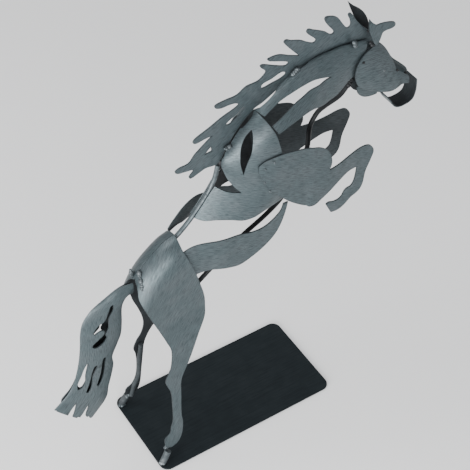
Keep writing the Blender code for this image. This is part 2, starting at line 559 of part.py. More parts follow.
# Pieces
def base_plate():
    ring = []
    r = PLATE_CORNER
    for cx, cy, turn in ((PLATE_LENGTH - r, PLATE_WIDTH / 2 - r, 0), (r, PLATE_WIDTH / 2 - r, 90),
                         (r, r - PLATE_WIDTH / 2, 180), (PLATE_LENGTH - r, r - PLATE_WIDTH / 2, 270)):
        for k in range(7):
            a = math.radians(turn + 15 * k)
            ring.append((cx + r * math.cos(a), cy + r * math.sin(a)))
    n = len(ring)
    verts = [(x, y, -PLATE_THICK) for x, y in ring] + [(x, y, 0) for x, y in ring]
    faces = [tuple(reversed(range(n))), tuple(range(n, 2 * n))]
    faces += [(i, (i + 1) % n, (i + 1) % n + n, i + n) for i in range(n)]
    return solid("base_plate", verts, faces, "plate")


def torso_sides():
    for name, side in (("torso_side_right", -1), ("torso_side_left", 1)):
        sheet(name, TORSO_OUTLINE, TORSO, side, [LEAF_SLOT])


def flank_strips():
    sheet("flank_strip_right", FLANK_OUTLINE, Field(flank_y), -1)
    sheet("flank_strip_left", FAR_FLANK_OUTLINE, Field(far_flank_y), 1)


def hind_legs():
    sheet("hind_leg_right", LEG_OUTLINE, HAUNCH, -1)
    sheet("hind_leg_left", FAR_LEG_OUTLINE, HAUNCH, 1)


def forelegs():
    sheet("foreleg_right", FORELEG_OUTLINE, Field(shoulder_y), -1)
    sheet("foreleg_left", shifted(FORELEG_OUTLINE, FAR_FORELEG_SHIFT), Field(shoulder_y), 1)


def neck():
    sheet("neck", NECK_OUTLINE, NECK, -1, step=NECK_STEP)


def mane():
    sheet("mane", MANE_OUTLINE, Field(lambda x, z: 0.0), 1, MANE_SLOTS, edge=FINE_EDGE_STEP)


def tail():
    sheet("tail_right", TAIL_OUTLINE, TAIL, -1, TAIL_SLOTS)
    sheet("tail_left", FAR_TAIL_OUTLINE, TAIL, 1, TAIL_SLOTS[:-1])


def head():
    sheet("face_right", FACE_OUTLINE, HEAD, -1, step=HEAD_STEP)
    sheet("face_left", FAR_FACE_OUTLINE, HEAD, 1, step=HEAD_STEP)
    for name, side in (("jaw_right", -1), ("jaw_left", 1)):
        sheet(name, JAW_OUTLINE, Field(lambda x, z: JAW_Y), side, step=HEAD_STEP)
    band("muzzle_band", MUZZLE_PATH, MUZZLE_HALF_WIDTH)
    sheet("ear_left", FAR_EAR_OUTLINE, Field(lambda x, z: FAR_EAR_Y), 1, step=HEAD_STEP)
    sheet("ear_right", NEAR_EAR_OUTLINE, Field(lambda x, z: NEAR_EAR_Y), -1, step=HEAD_STEP,
          edge=FINE_EDGE_STEP)


def rods():
    rod("spine_rod", SPINE_PATH)
    rod("belly_rod", BELLY_PATH)
    rod("leg_rod_right", LEG_ROD_PATH)
    rod("leg_rod_left", FAR_LEG_ROD_PATH)
    for name, side in (("hoof_right", -1), ("hoof_left", 1)):
        rod(name, [(x, side * y, z) for x, y, z in HOOF_PATH], radius=HOOF, sides=HOOF_SIDES)


def build():
    clear()
    base_plate()
    rods()
    hind_legs()
    flank_strips()
    torso_sides()
    forelegs()
    neck()
    mane()
    tail()
    head()


build()
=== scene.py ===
"""Studio picture of a rearing horse, cut and bent from lacquered steel sheet.

Lengths are in millimetres in the horse's own side elevation: x forward from the plate's back
edge, y to the horse's left from its middle plane, z up from the plate's top. put() turns them
into the CAD frame's metres.
"""
import logging
import math
from collections.abc import Callable
from dataclasses import dataclass
from enum import Enum

import bmesh
import bpy
import numpy as np
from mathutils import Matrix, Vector
from mathutils.geometry import delaunay_2d_cdt


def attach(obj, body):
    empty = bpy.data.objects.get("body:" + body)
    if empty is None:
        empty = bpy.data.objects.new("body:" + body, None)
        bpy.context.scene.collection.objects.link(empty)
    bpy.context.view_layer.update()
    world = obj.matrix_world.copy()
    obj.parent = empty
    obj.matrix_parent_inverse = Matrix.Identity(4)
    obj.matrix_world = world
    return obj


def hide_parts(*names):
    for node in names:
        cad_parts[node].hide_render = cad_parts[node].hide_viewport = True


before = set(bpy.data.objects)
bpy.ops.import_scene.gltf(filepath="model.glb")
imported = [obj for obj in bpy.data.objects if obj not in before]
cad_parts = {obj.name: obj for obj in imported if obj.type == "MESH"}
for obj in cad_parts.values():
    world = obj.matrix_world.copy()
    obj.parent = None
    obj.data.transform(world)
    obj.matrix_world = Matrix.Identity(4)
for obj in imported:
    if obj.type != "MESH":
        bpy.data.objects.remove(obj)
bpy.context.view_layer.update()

LOG = logging.getLogger("horse")

Point = tuple[float, ...]
Outline = tuple[Point, ...]
Colour = tuple[float, float, float]

PLATE_LENGTH, PLATE_WIDTH, PLATE_THICK, PLATE_CORNER = 200.0, 104.0, 2.0, 9.0
# Thickness of the sheet, and the radius of the rods and the hooves
SHEET, ROD, HOOF = 1.4, 2.25, 3.5
# How far a sheet's middle lies from the middle plane at a seam, at the croup's seam, beside the mane
SEAM, CREST_SEAM, BESIDE_MANE = 0.95, 0.18, 1.6
# How far a sheet lies under or over the one that it laps
TUCK, LAP = 2.6, 1.8
# How deep the far half of the tail is, as a share of the near half
FAR_TAIL_DEPTH = 0.35
# How far a filed edge is rounded, and the sharpest bend in degrees that stays as it is
FILED_SHEET, FILED_ROD, FILED_PLATE, FILED_BEND = 0.2, 0.3, 0.35, 50.0
# Shares of a sheet's mesh step: from one row of points to the next, and from a point to the cut
ROW_SHARE, CLEAR_SHARE = 0.866, 0.5
# Brush strokes: millimetres per unit of the pattern, its shift on the inner face and per letter of a name
STROKE_UNIT, INNER_SHIFT, NAME_SHIFT = 10, 40, 3.7
# From here on, in millimetres, a cut counts as far away
RIM_REACH = 12.0
# What keeps a division from zero, a distance beyond any other, and how near two points count as one
NO_RISE, NO_LENGTH, BEYOND, SAME_PLACE = 1e-12, 1e-9, 1e9, 1e-5
# Mesh steps of the head's sheets, inside and along the cut, and along the cuts of mane and tail
HEAD_STEP, HEAD_CUT, FINE_CUT = 2.6, 1.5, 1.6

# Direction of the brush strokes, in degrees
HAUNCH_BRUSH, STRIP_BRUSH, TORSO_BRUSH, FORELEG_BRUSH = -45.0, -12.0, 60.0, -20.0
NECK_BRUSH, MANE_BRUSH, TAIL_BRUSH, HEAD_BRUSH, EAR_BRUSH = 10.0, 25.0, 10.0, -30.0, 60.0

# Patterns of the finishes. Levels are where a pattern starts to show and where it is full.
AXES_SCALE = 100.0
STROKE_LEVELS, STROKE_DETAIL, STROKE_GRAIN = (0.4, 0.66), 4.0, 0.62
DAB_LEVELS, DAB_REACH, DAB_ALONG, DAB_ACROSS = (0.68, 0.74), 0.16, 0.9, 0.45
PATCH_LEVELS, PATCH_SIZE, PATCH_SHARE = (0.42, 0.6), 26.0, 0.85
CLOUD_LEVELS, CLOUD_SIZE, CLOUD_SHARE, MOTTLE_DETAIL = (0.35, 0.7), 60.0, 0.5, 3.0
# Black on inner faces is painted shade: how fully it covers, how much soft patches thin it, and the extra
# roughness there
INNER_SHADE_COVER, INNER_SHADE_WEAR, INNER_FACE_ROUGHNESS = 0.98, 0.12, 0.35
EDGE_GRAIN, EDGE_DETAIL, EDGE_MARGIN, EDGE_RAGGED, EDGE_SHARE = 420.0, 3.0, 0.3, 0.7, 0.5
SMOOTHER, ROUGHER = 0.05, 0.07
DENT_SIZE, DENT_DETAIL, BUMP_STRENGTH, BUMP_DEPTH = 38.0, 2.0, 0.25, 0.0012
LUMP_SIZE, LUMP_DETAIL, BEAD_TURN, BEAD_SUBDIVISIONS = 420.0, 2.0, 6.3, 3

# Lines that the bent surfaces follow
TORSO_CREST = (
    (24, 246), (42, 256.5), (59, 266), (70.3, 276.2), (79.8, 288), (89, 300.2), (98.5, 315),
    (101.5, 329.5), (110, 342.5), (120, 355.5), (134, 368.5), (150, 380)
)
TORSO_BELLY = (
    (50, 165), (66, 176), (84, 190), (104, 206), (125, 221), (146, 234), (166, 248), (181, 268),
    (191, 290), (195, 315), (196, 330), (202, 342)
)
TORSO_HALF_WIDTHS = (21.5, 22.5, 23, 23.5, 23.5, 24, 24.5, 25.5, 26.5, 26.5, 24.5, 21.5)
TORSO_POWERS = (1.2, 1.2, 1.2, 1.2, 1.2, 1.25, 1.4, 1.75, 2.1, 2.2, 2.2, 2.2)
CROUP_CREST = (
    (0, 199), (4.5, 214), (8, 223.5), (14.5, 234.5), (21, 242.5), (33, 253), (42, 259), (52, 262.5),
    (62, 268)
)
CROUP_FOLD = 28.0
CROUP_HALF_WIDTH = 19.2
HOCK_HEIGHT = 175.0
LEG_SPREAD = 21.6
NECK_CREST = ((125, 362), (134, 370.5), (157, 385), (188, 398.5), (222, 401), (250, 397))
NECK_BELLY = ((160, 240), (190, 290), (194.5, 322), (208, 338), (226, 344), (240, 362))
NECK_HALF_WIDTHS = (26.5, 25, 18, 11, 6.5, 4.2)
HEAD_CREST = (
    (244, 404), (262, 389), (273, 377), (283, 361), (293, 350.5), (301, 342), (308, 330), (314, 317)
)
HEAD_BELLY = (
    (225, 350), (238, 341), (252, 330), (266, 322), (280, 314), (292, 310), (300, 309), (306, 309)
)
HEAD_HALF_WIDTHS = (8.6, 9.4, 9.5, 9.5, 9, 8.5, 8, 7.5)
TAIL_BACK = (
    (9.5, 231), (-8.5, 228), (-22, 222), (-36, 215), (-45, 205), (-49, 191.5), (-51, 173), (-54, 154.5),
    (-58, 139), (-63, 125.5), (-70, 115.5), (-84.5, 103.5)
)
TAIL_FRONT = (
    (7.5, 213.5), (0, 211), (-4.5, 204), (-5.5, 196.5), (-6, 183.5), (-8.5, 167.5), (-13.5, 155.5),
    (-18.5, 142.5), (-18.5, 131.5), (-21, 119), (-28, 90.5), (-50.5, 64)
)
TAIL_HALF_WIDTHS = (3, 4.5, 5.5, 5.5, 5.5, 5.5, 5.5, 5.5, 5, 4.5, 4, 3)
NECK_POWERS, HEAD_POWERS, TAIL_POWERS = (2.2, 2.2), (1.7, 1.7), (1.6, 1.6)
ELBOW_X, FOREARM = 190.0, 50.0
HOOF_BEND_Z, HOOF_BEND = 258.0, 6.0
SHOULDER_FRONT, SHOULDER_Y, KNEE_Y = 175.0, 30.6, 25.0
HAUNCH_FRONT, FLANK_EASE = 60.0, 35.0
FAR_FLANK_REAR, FAR_FLANK_EASE, FAR_FLANK_REAR_Y, FAR_FLANK_FRONT_Y = 50.0, 45.0, 12.0, 21.0

# Outlines and rod paths, in side elevation. A third value marks a sharp corner.
TORSO_OUTLINE = (
    (134.5, 369, 1), (120, 355.5), (109.7, 343), (104.5, 335), (101.5, 329.5, 1), (100, 325),
    (100.8, 317.6), (102.2, 311), (104.2, 306.6), (106.5, 302.6), (111, 297, 1), (100.9, 298.1),
    (92.5, 303, 1), (86.3, 295), (80.5, 287.3), (71, 275.3, 1), (77.1, 272.8), (87.2, 272.7),
    (99, 271.2), (108.4, 268.8), (114.7, 268.8), (129.6, 270.9), (151, 272, 1), (150.2, 299.7),
    (147.5, 320), (146, 333), (144, 344), (142, 354), (139, 361.5), (136.5, 366.5)
)
LEAF_SLOT = (
    (125.5, 358.5, 1), (119.5, 352.5), (114.6, 344.4), (112.3, 337), (111.3, 328.7), (112.9, 318.1, 1),
    (115.6, 328.9), (119.7, 338.7), (123, 350)
)
FLANK_OUTLINE = (
    (44, 243, 1), (54, 251), (69, 254.5), (84, 254), (107, 251.5), (119.5, 248), (131, 248),
    (141, 252.5), (149, 260), (151.5, 268, 1), (156.5, 268, 1), (152.5, 250), (145, 234), (134, 223.5),
    (119.5, 216), (105.5, 212.5), (92.5, 215.5), (76, 219.5), (62, 219, 1), (52, 232)
)
FAR_FLANK_OUTLINE = (
    (51.8, 258, 1), (55, 262.3), (60.7, 267), (68, 271.5), (76, 274), (85.7, 275), (94.5, 273.8),
    (104, 270.3), (112, 266.8), (120.5, 263), (129, 259.5), (138, 262), (146, 271), (154, 280, 1),
    (154, 260, 1), (144, 246), (130, 240.5), (115, 243.5), (98, 249), (82.4, 251.5), (73.3, 253.8),
    (64.3, 257), (58.5, 256.7), (52.8, 254.4, 1)
)
HAUNCH_TOP = (
    (51.5, 263, 1), (42, 259.6), (33, 253.7), (21, 243.3), (14.5, 235.3), (9.5, 226.5, 1), (7.5, 219),
    (6.5, 213)
)
LEG_OUTLINE = HAUNCH_TOP + (
    (8, 205), (14.5, 185.5), (21.5, 166), (26.5, 151), (30, 138), (27, 118), (22, 109), (19.5, 103.5),
    (20.5, 97.5), (23.5, 86.5), (23, 68), (21.5, 49), (18.5, 41), (17, 34.5), (10.5, 29.5), (9.5, 22),
    (11, 16.5, 1), (16, 14.5, 1), (23.5, 17.5), (29, 26), (32, 42), (31.5, 52), (34, 79), (35.5, 94),
    (38, 102), (43.5, 111.5), (50.5, 124.5), (60, 145), (68.5, 163.5), (70, 179.5), (69, 192),
    (65, 209.5), (62, 222, 1), (58.5, 233), (54.5, 245.5), (51.5, 255)
)
FAR_LEG_OUTLINE = HAUNCH_TOP + (
    (8, 204), (12.5, 190), (15.5, 177), (20.5, 162.5), (25.5, 144.5), (27, 131), (24.5, 117.5),
    (19.5, 108), (16.5, 96), (18.5, 87), (20, 72.5), (19.5, 48), (15, 34), (8.5, 29), (7.5, 22),
    (10.5, 16.5, 1), (16, 14.5, 1), (21.5, 20), (24.5, 32), (25.5, 49.5), (27, 81.5), (28.5, 101),
    (34.5, 118), (45, 133), (57, 150), (66, 166), (70, 181), (69, 193), (65, 209.5), (62, 222, 1),
    (58.5, 233), (54.5, 245.5), (51.5, 255)
)
FORELEG_OUTLINE = (
    (123.5, 326.5, 1), (130, 332), (146, 335), (162.5, 332), (176, 328), (185.5, 324), (193, 317),
    (197, 308.5), (198.5, 300), (196, 292, 1), (208, 292.5), (224.5, 295.5), (235, 297), (243.5, 295.5),
    (248.5, 289.5), (249.5, 284.5), (247, 276.5), (242, 263.5), (240, 250), (237, 243.5), (232, 240),
    (227, 238), (220, 232), (213, 229), (205, 229.5, 1), (198.5, 243, 1), (201.5, 244.5), (208, 242.5),
    (215, 244), (219.5, 251), (227, 256), (229.5, 262.5), (231, 275, 1), (220.5, 275.5), (210, 271.5),
    (199, 265.5), (189, 260), (181.5, 256), (173.5, 258), (163.5, 265), (153.5, 274), (144.5, 284),
    (137, 292.5), (132.5, 298), (128.5, 307), (124, 318)
)
NECK_OUTLINE = (
    (134, 370.5, 1), (146.5, 378.5), (157, 385), (170, 392), (188, 398.5), (198, 400.5), (210, 401),
    (222, 401), (235, 399.5), (249, 397, 1), (246, 389.5), (242, 383.5), (241, 376), (239.5, 369.5),
    (227.5, 364.5), (222.5, 360.5), (214, 355.5), (207.5, 355), (199, 354.5), (192.5, 356),
    (183, 358.5), (171, 358.5), (157, 356.5), (145, 353, 1), (140.5, 361, 1), (148.5, 365),
    (157.5, 369.5), (167, 374), (174, 376), (182.5, 378.5), (193.5, 378.5), (200, 380), (207, 380, 1),
    (195, 384), (186.5, 385.5), (175.5, 384.5), (165, 382), (154.5, 378.5), (146, 374),
    (137.5, 368.5, 1)
)
MANE_OUTLINE = (
    (102.5, 331.5, 1), (96.5, 325), (85, 325.5), (77, 323), (70, 321), (68.5, 323.5), (73, 329),
    (71, 330.5, 1), (64, 331.5), (57, 333), (55, 336), (59, 338.5), (68.5, 339.5), (75, 346.5),
    (87, 355.5), (93, 359.5, 1), (84, 359), (77.5, 358), (74, 359), (73.5, 361.5), (76, 364),
    (89.5, 369.5), (101.5, 375), (116, 380), (119, 382, 1), (115.5, 384.5), (109.5, 385.5),
    (101.5, 385.5), (97, 387), (95, 389.5), (96.5, 391.5), (106.5, 392.5), (117, 393), (126, 398),
    (138, 399), (145, 404), (145, 406.5), (140.5, 411.5), (139.5, 413.5), (142, 414.5), (155, 408),
    (166, 403.5), (168, 406), (152, 413.5), (148, 415.5), (147, 418), (158, 418), (169.5, 412.5),
    (178.5, 408.5, 1), (172.5, 415.5), (163.5, 427), (163, 429.5), (165.5, 430.5), (170, 428),
    (180, 424), (186.5, 419.5), (193, 416), (195.5, 417), (194.5, 419.5), (185.5, 429.5), (187, 432.5),
    (192, 430), (204.5, 423), (211, 417.5), (214, 418), (213.5, 420), (206.5, 429.5), (203.5, 436),
    (205.5, 438), (216, 433.5), (223.5, 423), (228, 417.5), (231, 418.5), (230.5, 424.5), (228, 431),
    (230.5, 432), (237.5, 421.5), (244, 413), (250.5, 406.5), (253.5, 400), (257, 390.5),
    (255.5, 386.5, 1), (246, 392.5), (230, 397), (210, 397.5), (188, 394.5), (170, 388), (157, 381),
    (143, 373.5), (134, 370.2), (119, 356.6), (109, 343.6)
)
MANE_SLOTS = (
    ((141, 391), (152.5, 395.5), (162.5, 398), (165.5, 394), (152.5, 390.5)), ((106, 366), (116, 372),
    (124.5, 377), (119, 369.5), (109, 364.5)), ((84, 341.5, 1), (91, 348, 1), (91.5, 342.5, 1))
)
TAIL_FRONT_EDGE = (
    (-30.5, 90.5), (-28.5, 103.5), (-23.5, 120), (-21, 133), (-21.5, 145), (-15.5, 158), (-10.5, 169.5),
    (-8.5, 185.5), (-8, 199), (-7, 210), (-2, 217), (5, 216.5, 1)
)
TAIL_OUTLINE = (
    (6, 228, 1), (-8.5, 228), (-22, 222), (-36, 215), (-45, 205), (-49, 191.5), (-51, 173),
    (-54, 154.5), (-58, 139), (-63, 125.5), (-70, 116.5), (-78, 111), (-84.5, 107, 1), (-85, 103.5, 1),
    (-82.6, 102.5, 1), (-84, 100.6, 1), (-80.8, 98.5, 1), (-81.8, 93.2, 1), (-80.6, 91, 1),
    (-78.3, 92.2, 1), (-79, 89.5, 1), (-77, 86.8, 1), (-74, 89.2), (-69, 96), (-63, 102.7, 1),
    (-65, 95.7), (-67.5, 88), (-70.3, 83, 1), (-69.5, 79.5, 1), (-66.5, 79.2), (-63.6, 81.4, 1),
    (-61.3, 79, 1), (-58, 83), (-51.1, 93.7, 1), (-52.5, 86.7), (-54.7, 80), (-55, 75.5),
    (-53, 72.5, 1), (-51.8, 74.5, 1), (-50.5, 68), (-46.5, 67.5), (-37, 77.5)
) + TAIL_FRONT_EDGE
FAR_TAIL_OUTLINE = (
    (6, 225.5, 1), (-7.2, 223.5), (-19.6, 218), (-32.8, 211.3), (-40.6, 202.5), (-44.3, 191),
    (-46.3, 173.2), (-49.5, 155.3), (-54.3, 140), (-60, 127), (-66.5, 118), (-74, 112), (-76, 105, 1),
    (-68, 103.5), (-58, 106), (-47, 98), (-39, 95, 1)
) + TAIL_FRONT_EDGE[1:]
TAIL_SLOTS = (
    ((-17.5, 215.5), (-17.5, 209.5), (-22.5, 200.5), (-23.5, 189), (-27.3, 181), (-25.7, 177.5, 1),
    (-30, 172), (-38, 169), (-40.8, 172.5), (-34.5, 178.5), (-28.5, 183.5), (-29, 189),
    (-37.5, 186.5, 1), (-38.5, 189.5, 1), (-33, 196.5), (-26.5, 200), (-22, 209)), ((-46.3, 153, 1),
    (-50, 147), (-54, 137), (-59, 125.5), (-59.8, 119.5, 1), (-55.5, 120.8), (-52, 127), (-50.8, 136),
    (-48, 147.5)), ((-38.2, 144.6), (-41, 144.8), (-43.4, 139.5), (-46.2, 129.5), (-49, 120.6),
    (-52.4, 112.8, 1), (-50, 111.3), (-46.5, 118), (-43.8, 131.5), (-40.6, 139)), ((-29.2, 150.3),
    (-31.6, 151), (-33.7, 144.2), (-34.8, 137), (-37, 127.6), (-40.9, 116.7, 1), (-39.2, 114.2),
    (-35.5, 119.5), (-32.8, 128), (-31.4, 135), (-30.4, 143.2))
)
FAR_TAIL_SLOTS = (
    TAIL_SLOTS[0], ((-46.5, 152, 1), (-50.5, 143), (-53.5, 134), (-57, 124), (-56, 114.5, 1),
    (-53, 113.5), (-48.3, 120), (-45, 130), (-42.8, 141), (-43.5, 147))
)
FACE_BACK = (
    (297.6, 330.3), (288.1, 335.8), (283.6, 334.8), (277.6, 333.3), (271.1, 334.3), (257.6, 339.8),
    (246, 347.5), (238.1, 355.5), (233.6, 368.7), (235, 378.3), (240.2, 385.5), (247.6, 389)
)
FACE_OUTLINE = (
    (256.9, 389.6, 1), (263.6, 386.7), (271.5, 377), (276.8, 367), (280.5, 358), (281.7, 353.4),
    (287.1, 348.9), (292.9, 343.7), (297.7, 338.6), (296.8, 332.5, 1)
) + FACE_BACK[1:]
FAR_FACE_OUTLINE = (
    (256.9, 389.6, 1), (263.6, 386.7), (273.2, 376.3), (283.1, 360.3), (293.1, 349.9), (301, 341.2),
    (304.6, 334.5, 1), (303.5, 328.2, 1)
) + FACE_BACK
JAW_OUTLINE = (
    (240, 351, 1), (240, 347), (242.5, 341), (248, 336), (255, 333.5), (263, 333, 1), (264, 336.5, 1),
    (257, 342), (247, 349)
)
MUZZLE_PATH = (
    (268.6, 331.6), (276.5, 322), (283.5, 311), (288.5, 307.5), (296, 307), (304, 309.5), (307, 316.5),
    (307.5, 324), (306.9, 332)
)
MUZZLE_HALF_WIDTH = 8.0
FAR_EAR_OUTLINE = (
    (233, 438, 1), (239, 431.5), (247, 424.5), (252.5, 417.5), (256.5, 409), (258, 401),
    (256.5, 396, 1), (249, 406.5), (242.5, 416), (237, 428)
)
NEAR_EAR_OUTLINE = (
    (246, 423.5, 1), (250, 418), (254.5, 414, 1), (262, 413.5), (270, 411.5), (274.5, 409),
    (275, 405.5), (272, 404), (262.5, 403.5), (260.5, 399), (259, 395), (256.5, 391.5), (254, 393.5),
    (250, 402), (246.5, 412)
)
SPINE_PATH = (
    (20, 0, 234), (29, 0, 243.5), (44, 0, 253), (54, 0, 259.2), (61, 0, 265), (68, 0, 271.8),
    (74.5, 0, 279), (81, 0, 286.8), (86.5, 0, 294), (90.5, 0, 300.5), (93.7, 0, 307.5), (96, 0, 315.3),
    (97.5, 0, 323)
)
BELLY_PATH = (
    (65, 0, 179), (81, 0, 191), (103, 0, 207.5), (124.5, 0, 222), (148, 0, 234.5), (165.5, 0, 247.5),
    (181, 0, 268), (192.5, 0, 297.5), (194.5, 0, 322), (201.5, 0, 334.5), (209, 0, 338.5),
    (225, 0, 343.5), (232, 0, 350)
)
LEG_ROD_PATH = (
    (28, -25, 101), (27.5, -28.3, 76), (27, -31.8, 47), (22, -33.6, 32), (14, -35.6, 17.5)
)
FAR_LEG_ROD_PATH = (
    (22.5, 24.6, 104), (21, 28, 78), (20.5, 31.4, 50), (16, 33.4, 35), (12.5, 35.6, 17.5)
)
HOOF_PATH = ((11, 41.3, 14), (4, 42.5, 2.1))
HOOF_WELD = ((6, 41, 1.2), (3.5, 44, 1.2), (1.5, 42, 1.2), (3.5, 39.5, 1.2), (6, 41, 1.2))
JAW_Y, NEAR_EAR_Y, FAR_EAR_Y = 5.2, 7.0, 8.0
FAR_FORELEG_SHIFT = (9.0, 3.0)


class Side(Enum):
    """Which of the horse's sides a mirrored sheet belongs to."""

    RIGHT = -1
    LEFT = 1


class Paint(Enum):
    """The finishes of the piece, by the material slot of the record that each belongs to."""

    SHEET = "sheet_steel"
    MANE = "mane_steel"
    ROD = "rod_steel"
    # Black rod lacquer is painted shade on the belly rod and on beads laid where gaps lie in shade.
    DARK_ROD = "dark_rod_steel"
    PLATE = "plate_steel"
    HOOF = "hoof_steel"


def put(x: float, y: float, z: float) -> Vector:
    """Turn a place in the side elevation, in millimetres, into the frame's metres."""
    return Vector(((x - PLATE_LENGTH / 2) / 1000, y / 1000, (z + PLATE_THICK) / 1000))


def linked(name: str, data: bpy.types.ID) -> bpy.types.Object:
    """Make an object from its data and link it to the scene."""
    obj = bpy.data.objects.new(name, data)
    bpy.context.scene.collection.objects.link(obj)
    return obj


def store(mesh: bpy.types.Mesh, name: str, values: list | np.ndarray) -> None:
    """Store one value for each vertex, under a name that the finishes read."""
    attribute = mesh.attributes.new(name, "FLOAT", "POINT")
    attribute.data.foreach_set("value", np.asarray(values, np.float32))


# Curves
def hermite(points: Outline, x: float) -> float:
    """Read a smooth line through (x, value) points, straight beyond both ends.

    Args:
        points: the points, in rising x.
        x: where to read it.

    Returns:
        The value at x.
    """
    if x <= points[0][0]:
        (x0, v0), (x1, v1) = points[0], points[1]
        return v0 + (x - x0) * (v1 - v0) / (x1 - x0)
    if x >= points[-1][0]:
        (x0, v0), (x1, v1) = points[-2], points[-1]
        return v1 + (x - x1) * (v1 - v0) / (x1 - x0)
    i = max(k for k in range(len(points) - 1) if points[k][0] <= x)
    slope = [(b[1] - a[1]) / (b[0] - a[0]) for a, b in zip(points, points[1:])]
    m = [slope[0]] + [(slope[k] + slope[k + 1]) / 2 for k in range(len(slope) - 1)] + [slope[-1]]
    x0, v0 = points[i]
    x1, v1 = points[i + 1]
    h = x1 - x0
    t = (x - x0) / h
    return ((2 * t**3 - 3 * t**2 + 1) * v0 + (t**3 - 2 * t**2 + t) * h * m[i]
            + (3 * t**2 - 2 * t**3) * v1 + (t**3 - t**2) * h * m[i + 1])


def smooth_step(t: float) -> float:
    """Ease from 0 to 1."""
    t = min(max(t, 0.0), 1.0)
    return t * t * (3 - 2 * t)


def cubic(a: Vector, b: Vector, start: Vector, end: Vector, t: float) -> Vector:
    """Point at t on the cubic from a to b with the given end slopes."""
    return ((2 * t**3 - 3 * t**2 + 1) * a + (t**3 - 2 * t**2 + t) * start
            + (3 * t**2 - 2 * t**3) * b + (t**3 - t**2) * end)


def rounded(points: Outline, step: float, closed: bool = True) -> list[Vector]:
    """Lay points along a smooth curve through the given ones.

    Args:
        points: (x, z) points. One with a third value is a sharp corner.
        step: the distance between new points, in millimetres.
        closed: whether the last point joins the first.

    Returns:
        The curve's points.
    """
    n = len(points)
    corner = [len(p) > 2 for p in points]
    pos = [Vector(p[:2]) for p in points]
    out = []
    for i in range(n if closed else n - 1):
        a, b = pos[i], pos[(i + 1) % n]
        before = a if (corner[i] or (not closed and i == 0)) else pos[i - 1]
        after = b if (corner[(i + 1) % n] or (not closed and i == n - 2)) else pos[(i + 2) % n]
        length = (b - a).length
        start = (b - before).normalized() * length if before != a else (b - a)
        end = (after - a).normalized() * length if after != b else (b - a)
        if before == a and after != b:
            start = ((b - a) * 1.5 - end * 0.5)
        if after == b and before != a:
            end = ((b - a) * 1.5 - start * 0.5)
        count = max(1, round(length / step))
        out += [cubic(a, b, start, end, k / count) for k in range(count)]
    if not closed:
        out.append(pos[-1])
    return out


def path3(points: Outline, step: float) -> list[Vector]:
    """Lay points along a smooth path through (x, y, z) points.

    Args:
        points: the places that the path passes, in millimetres.
        step: the distance between new points.

    Returns:
        The path's points.
    """
    n = len(points)
    pos = [Vector(p) for p in points]
    out = []
    for i in range(n - 1):
        a, b = pos[i], pos[i + 1]
        length = (b - a).length
        start = ((b - pos[i - 1]).normalized() if i > 0 else (b - a).normalized()) * length
        end = ((pos[i + 2] - a).normalized() if i < n - 2 else (b - a).normalized()) * length
        count = max(1, round(length / step))
        out += [cubic(a, b, start, end, k / count) for k in range(count)]
    out.append(pos[-1])
    return out


def within(points: np.ndarray, ring: np.ndarray) -> np.ndarray:
    """Tell which points lie inside a closed ring.

    Args:
        points: n by 2 places.
        ring: m by 2 corners.

    Returns:
        One truth value for each point.
    """
    hit = np.zeros(len(points), bool)
    for a, b in zip(ring, np.roll(ring, 1, 0)):
        crosses = (a[1] > points[:, 1]) != (b[1] > points[:, 1])
        if crosses.any():
            at = (b[0] - a[0]) * (points[:, 1] - a[1]) / (b[1] - a[1] + NO_RISE) + a[0]
            hit ^= crosses & (points[:, 0] < at)
    return hit


def distance_to(points: np.ndarray, ring: np.ndarray) -> np.ndarray:
    """Measure how far points lie from a closed ring.

    Args:
        points: n by 2 places.
        ring: m by 2 corners.

    Returns:
        The distance of each point to the ring's nearest edge.
    """
    best = np.full(len(points), BEYOND)
    for a, b in zip(np.roll(ring, 1, 0), ring):
        ab = b - a
        t = np.clip(((points - a) @ ab) / max(ab @ ab, NO_LENGTH), 0, 1)
        best = np.minimum(best, np.hypot(*(a + t[:, None] * ab - points).T))
    return best


# Surfaces that sheets are bent to
class Surface:
    """A bent surface that a flat cut sheet is laid on."""

    def flat(self, x: float, z: float) -> tuple[float, float]:
        """Unroll a place of the side elevation onto the flat sheet."""
        return x, z

    def bend(self, u: float, v: float) -> tuple[float, float, float]:
        """Give the place in space of a point of the flat sheet."""
        raise NotImplementedError

    def across(self, x: float, z: float) -> float:
        """Sideways place at a place of the side elevation."""
        return self.bend(*self.flat(x, z))[1]


@dataclass
class Flat(Surface):
    """A flat upright plate, y millimetres out from the middle plane."""

    y: float = 0.0

    def bend(self, u: float, v: float) -> tuple[float, float, float]:
        """Give the place in space of a point of the flat sheet."""
        return u, self.y, v


@dataclass
class Field(Surface):
    """A sheet whose sideways place is a plain rule of its side elevation."""

    rule: Callable[[float, float], float]

    def bend(self, u: float, v: float) -> tuple[float, float, float]:
        """Give the place in space of a point of the flat sheet."""
        return u, self.rule(u, v), v


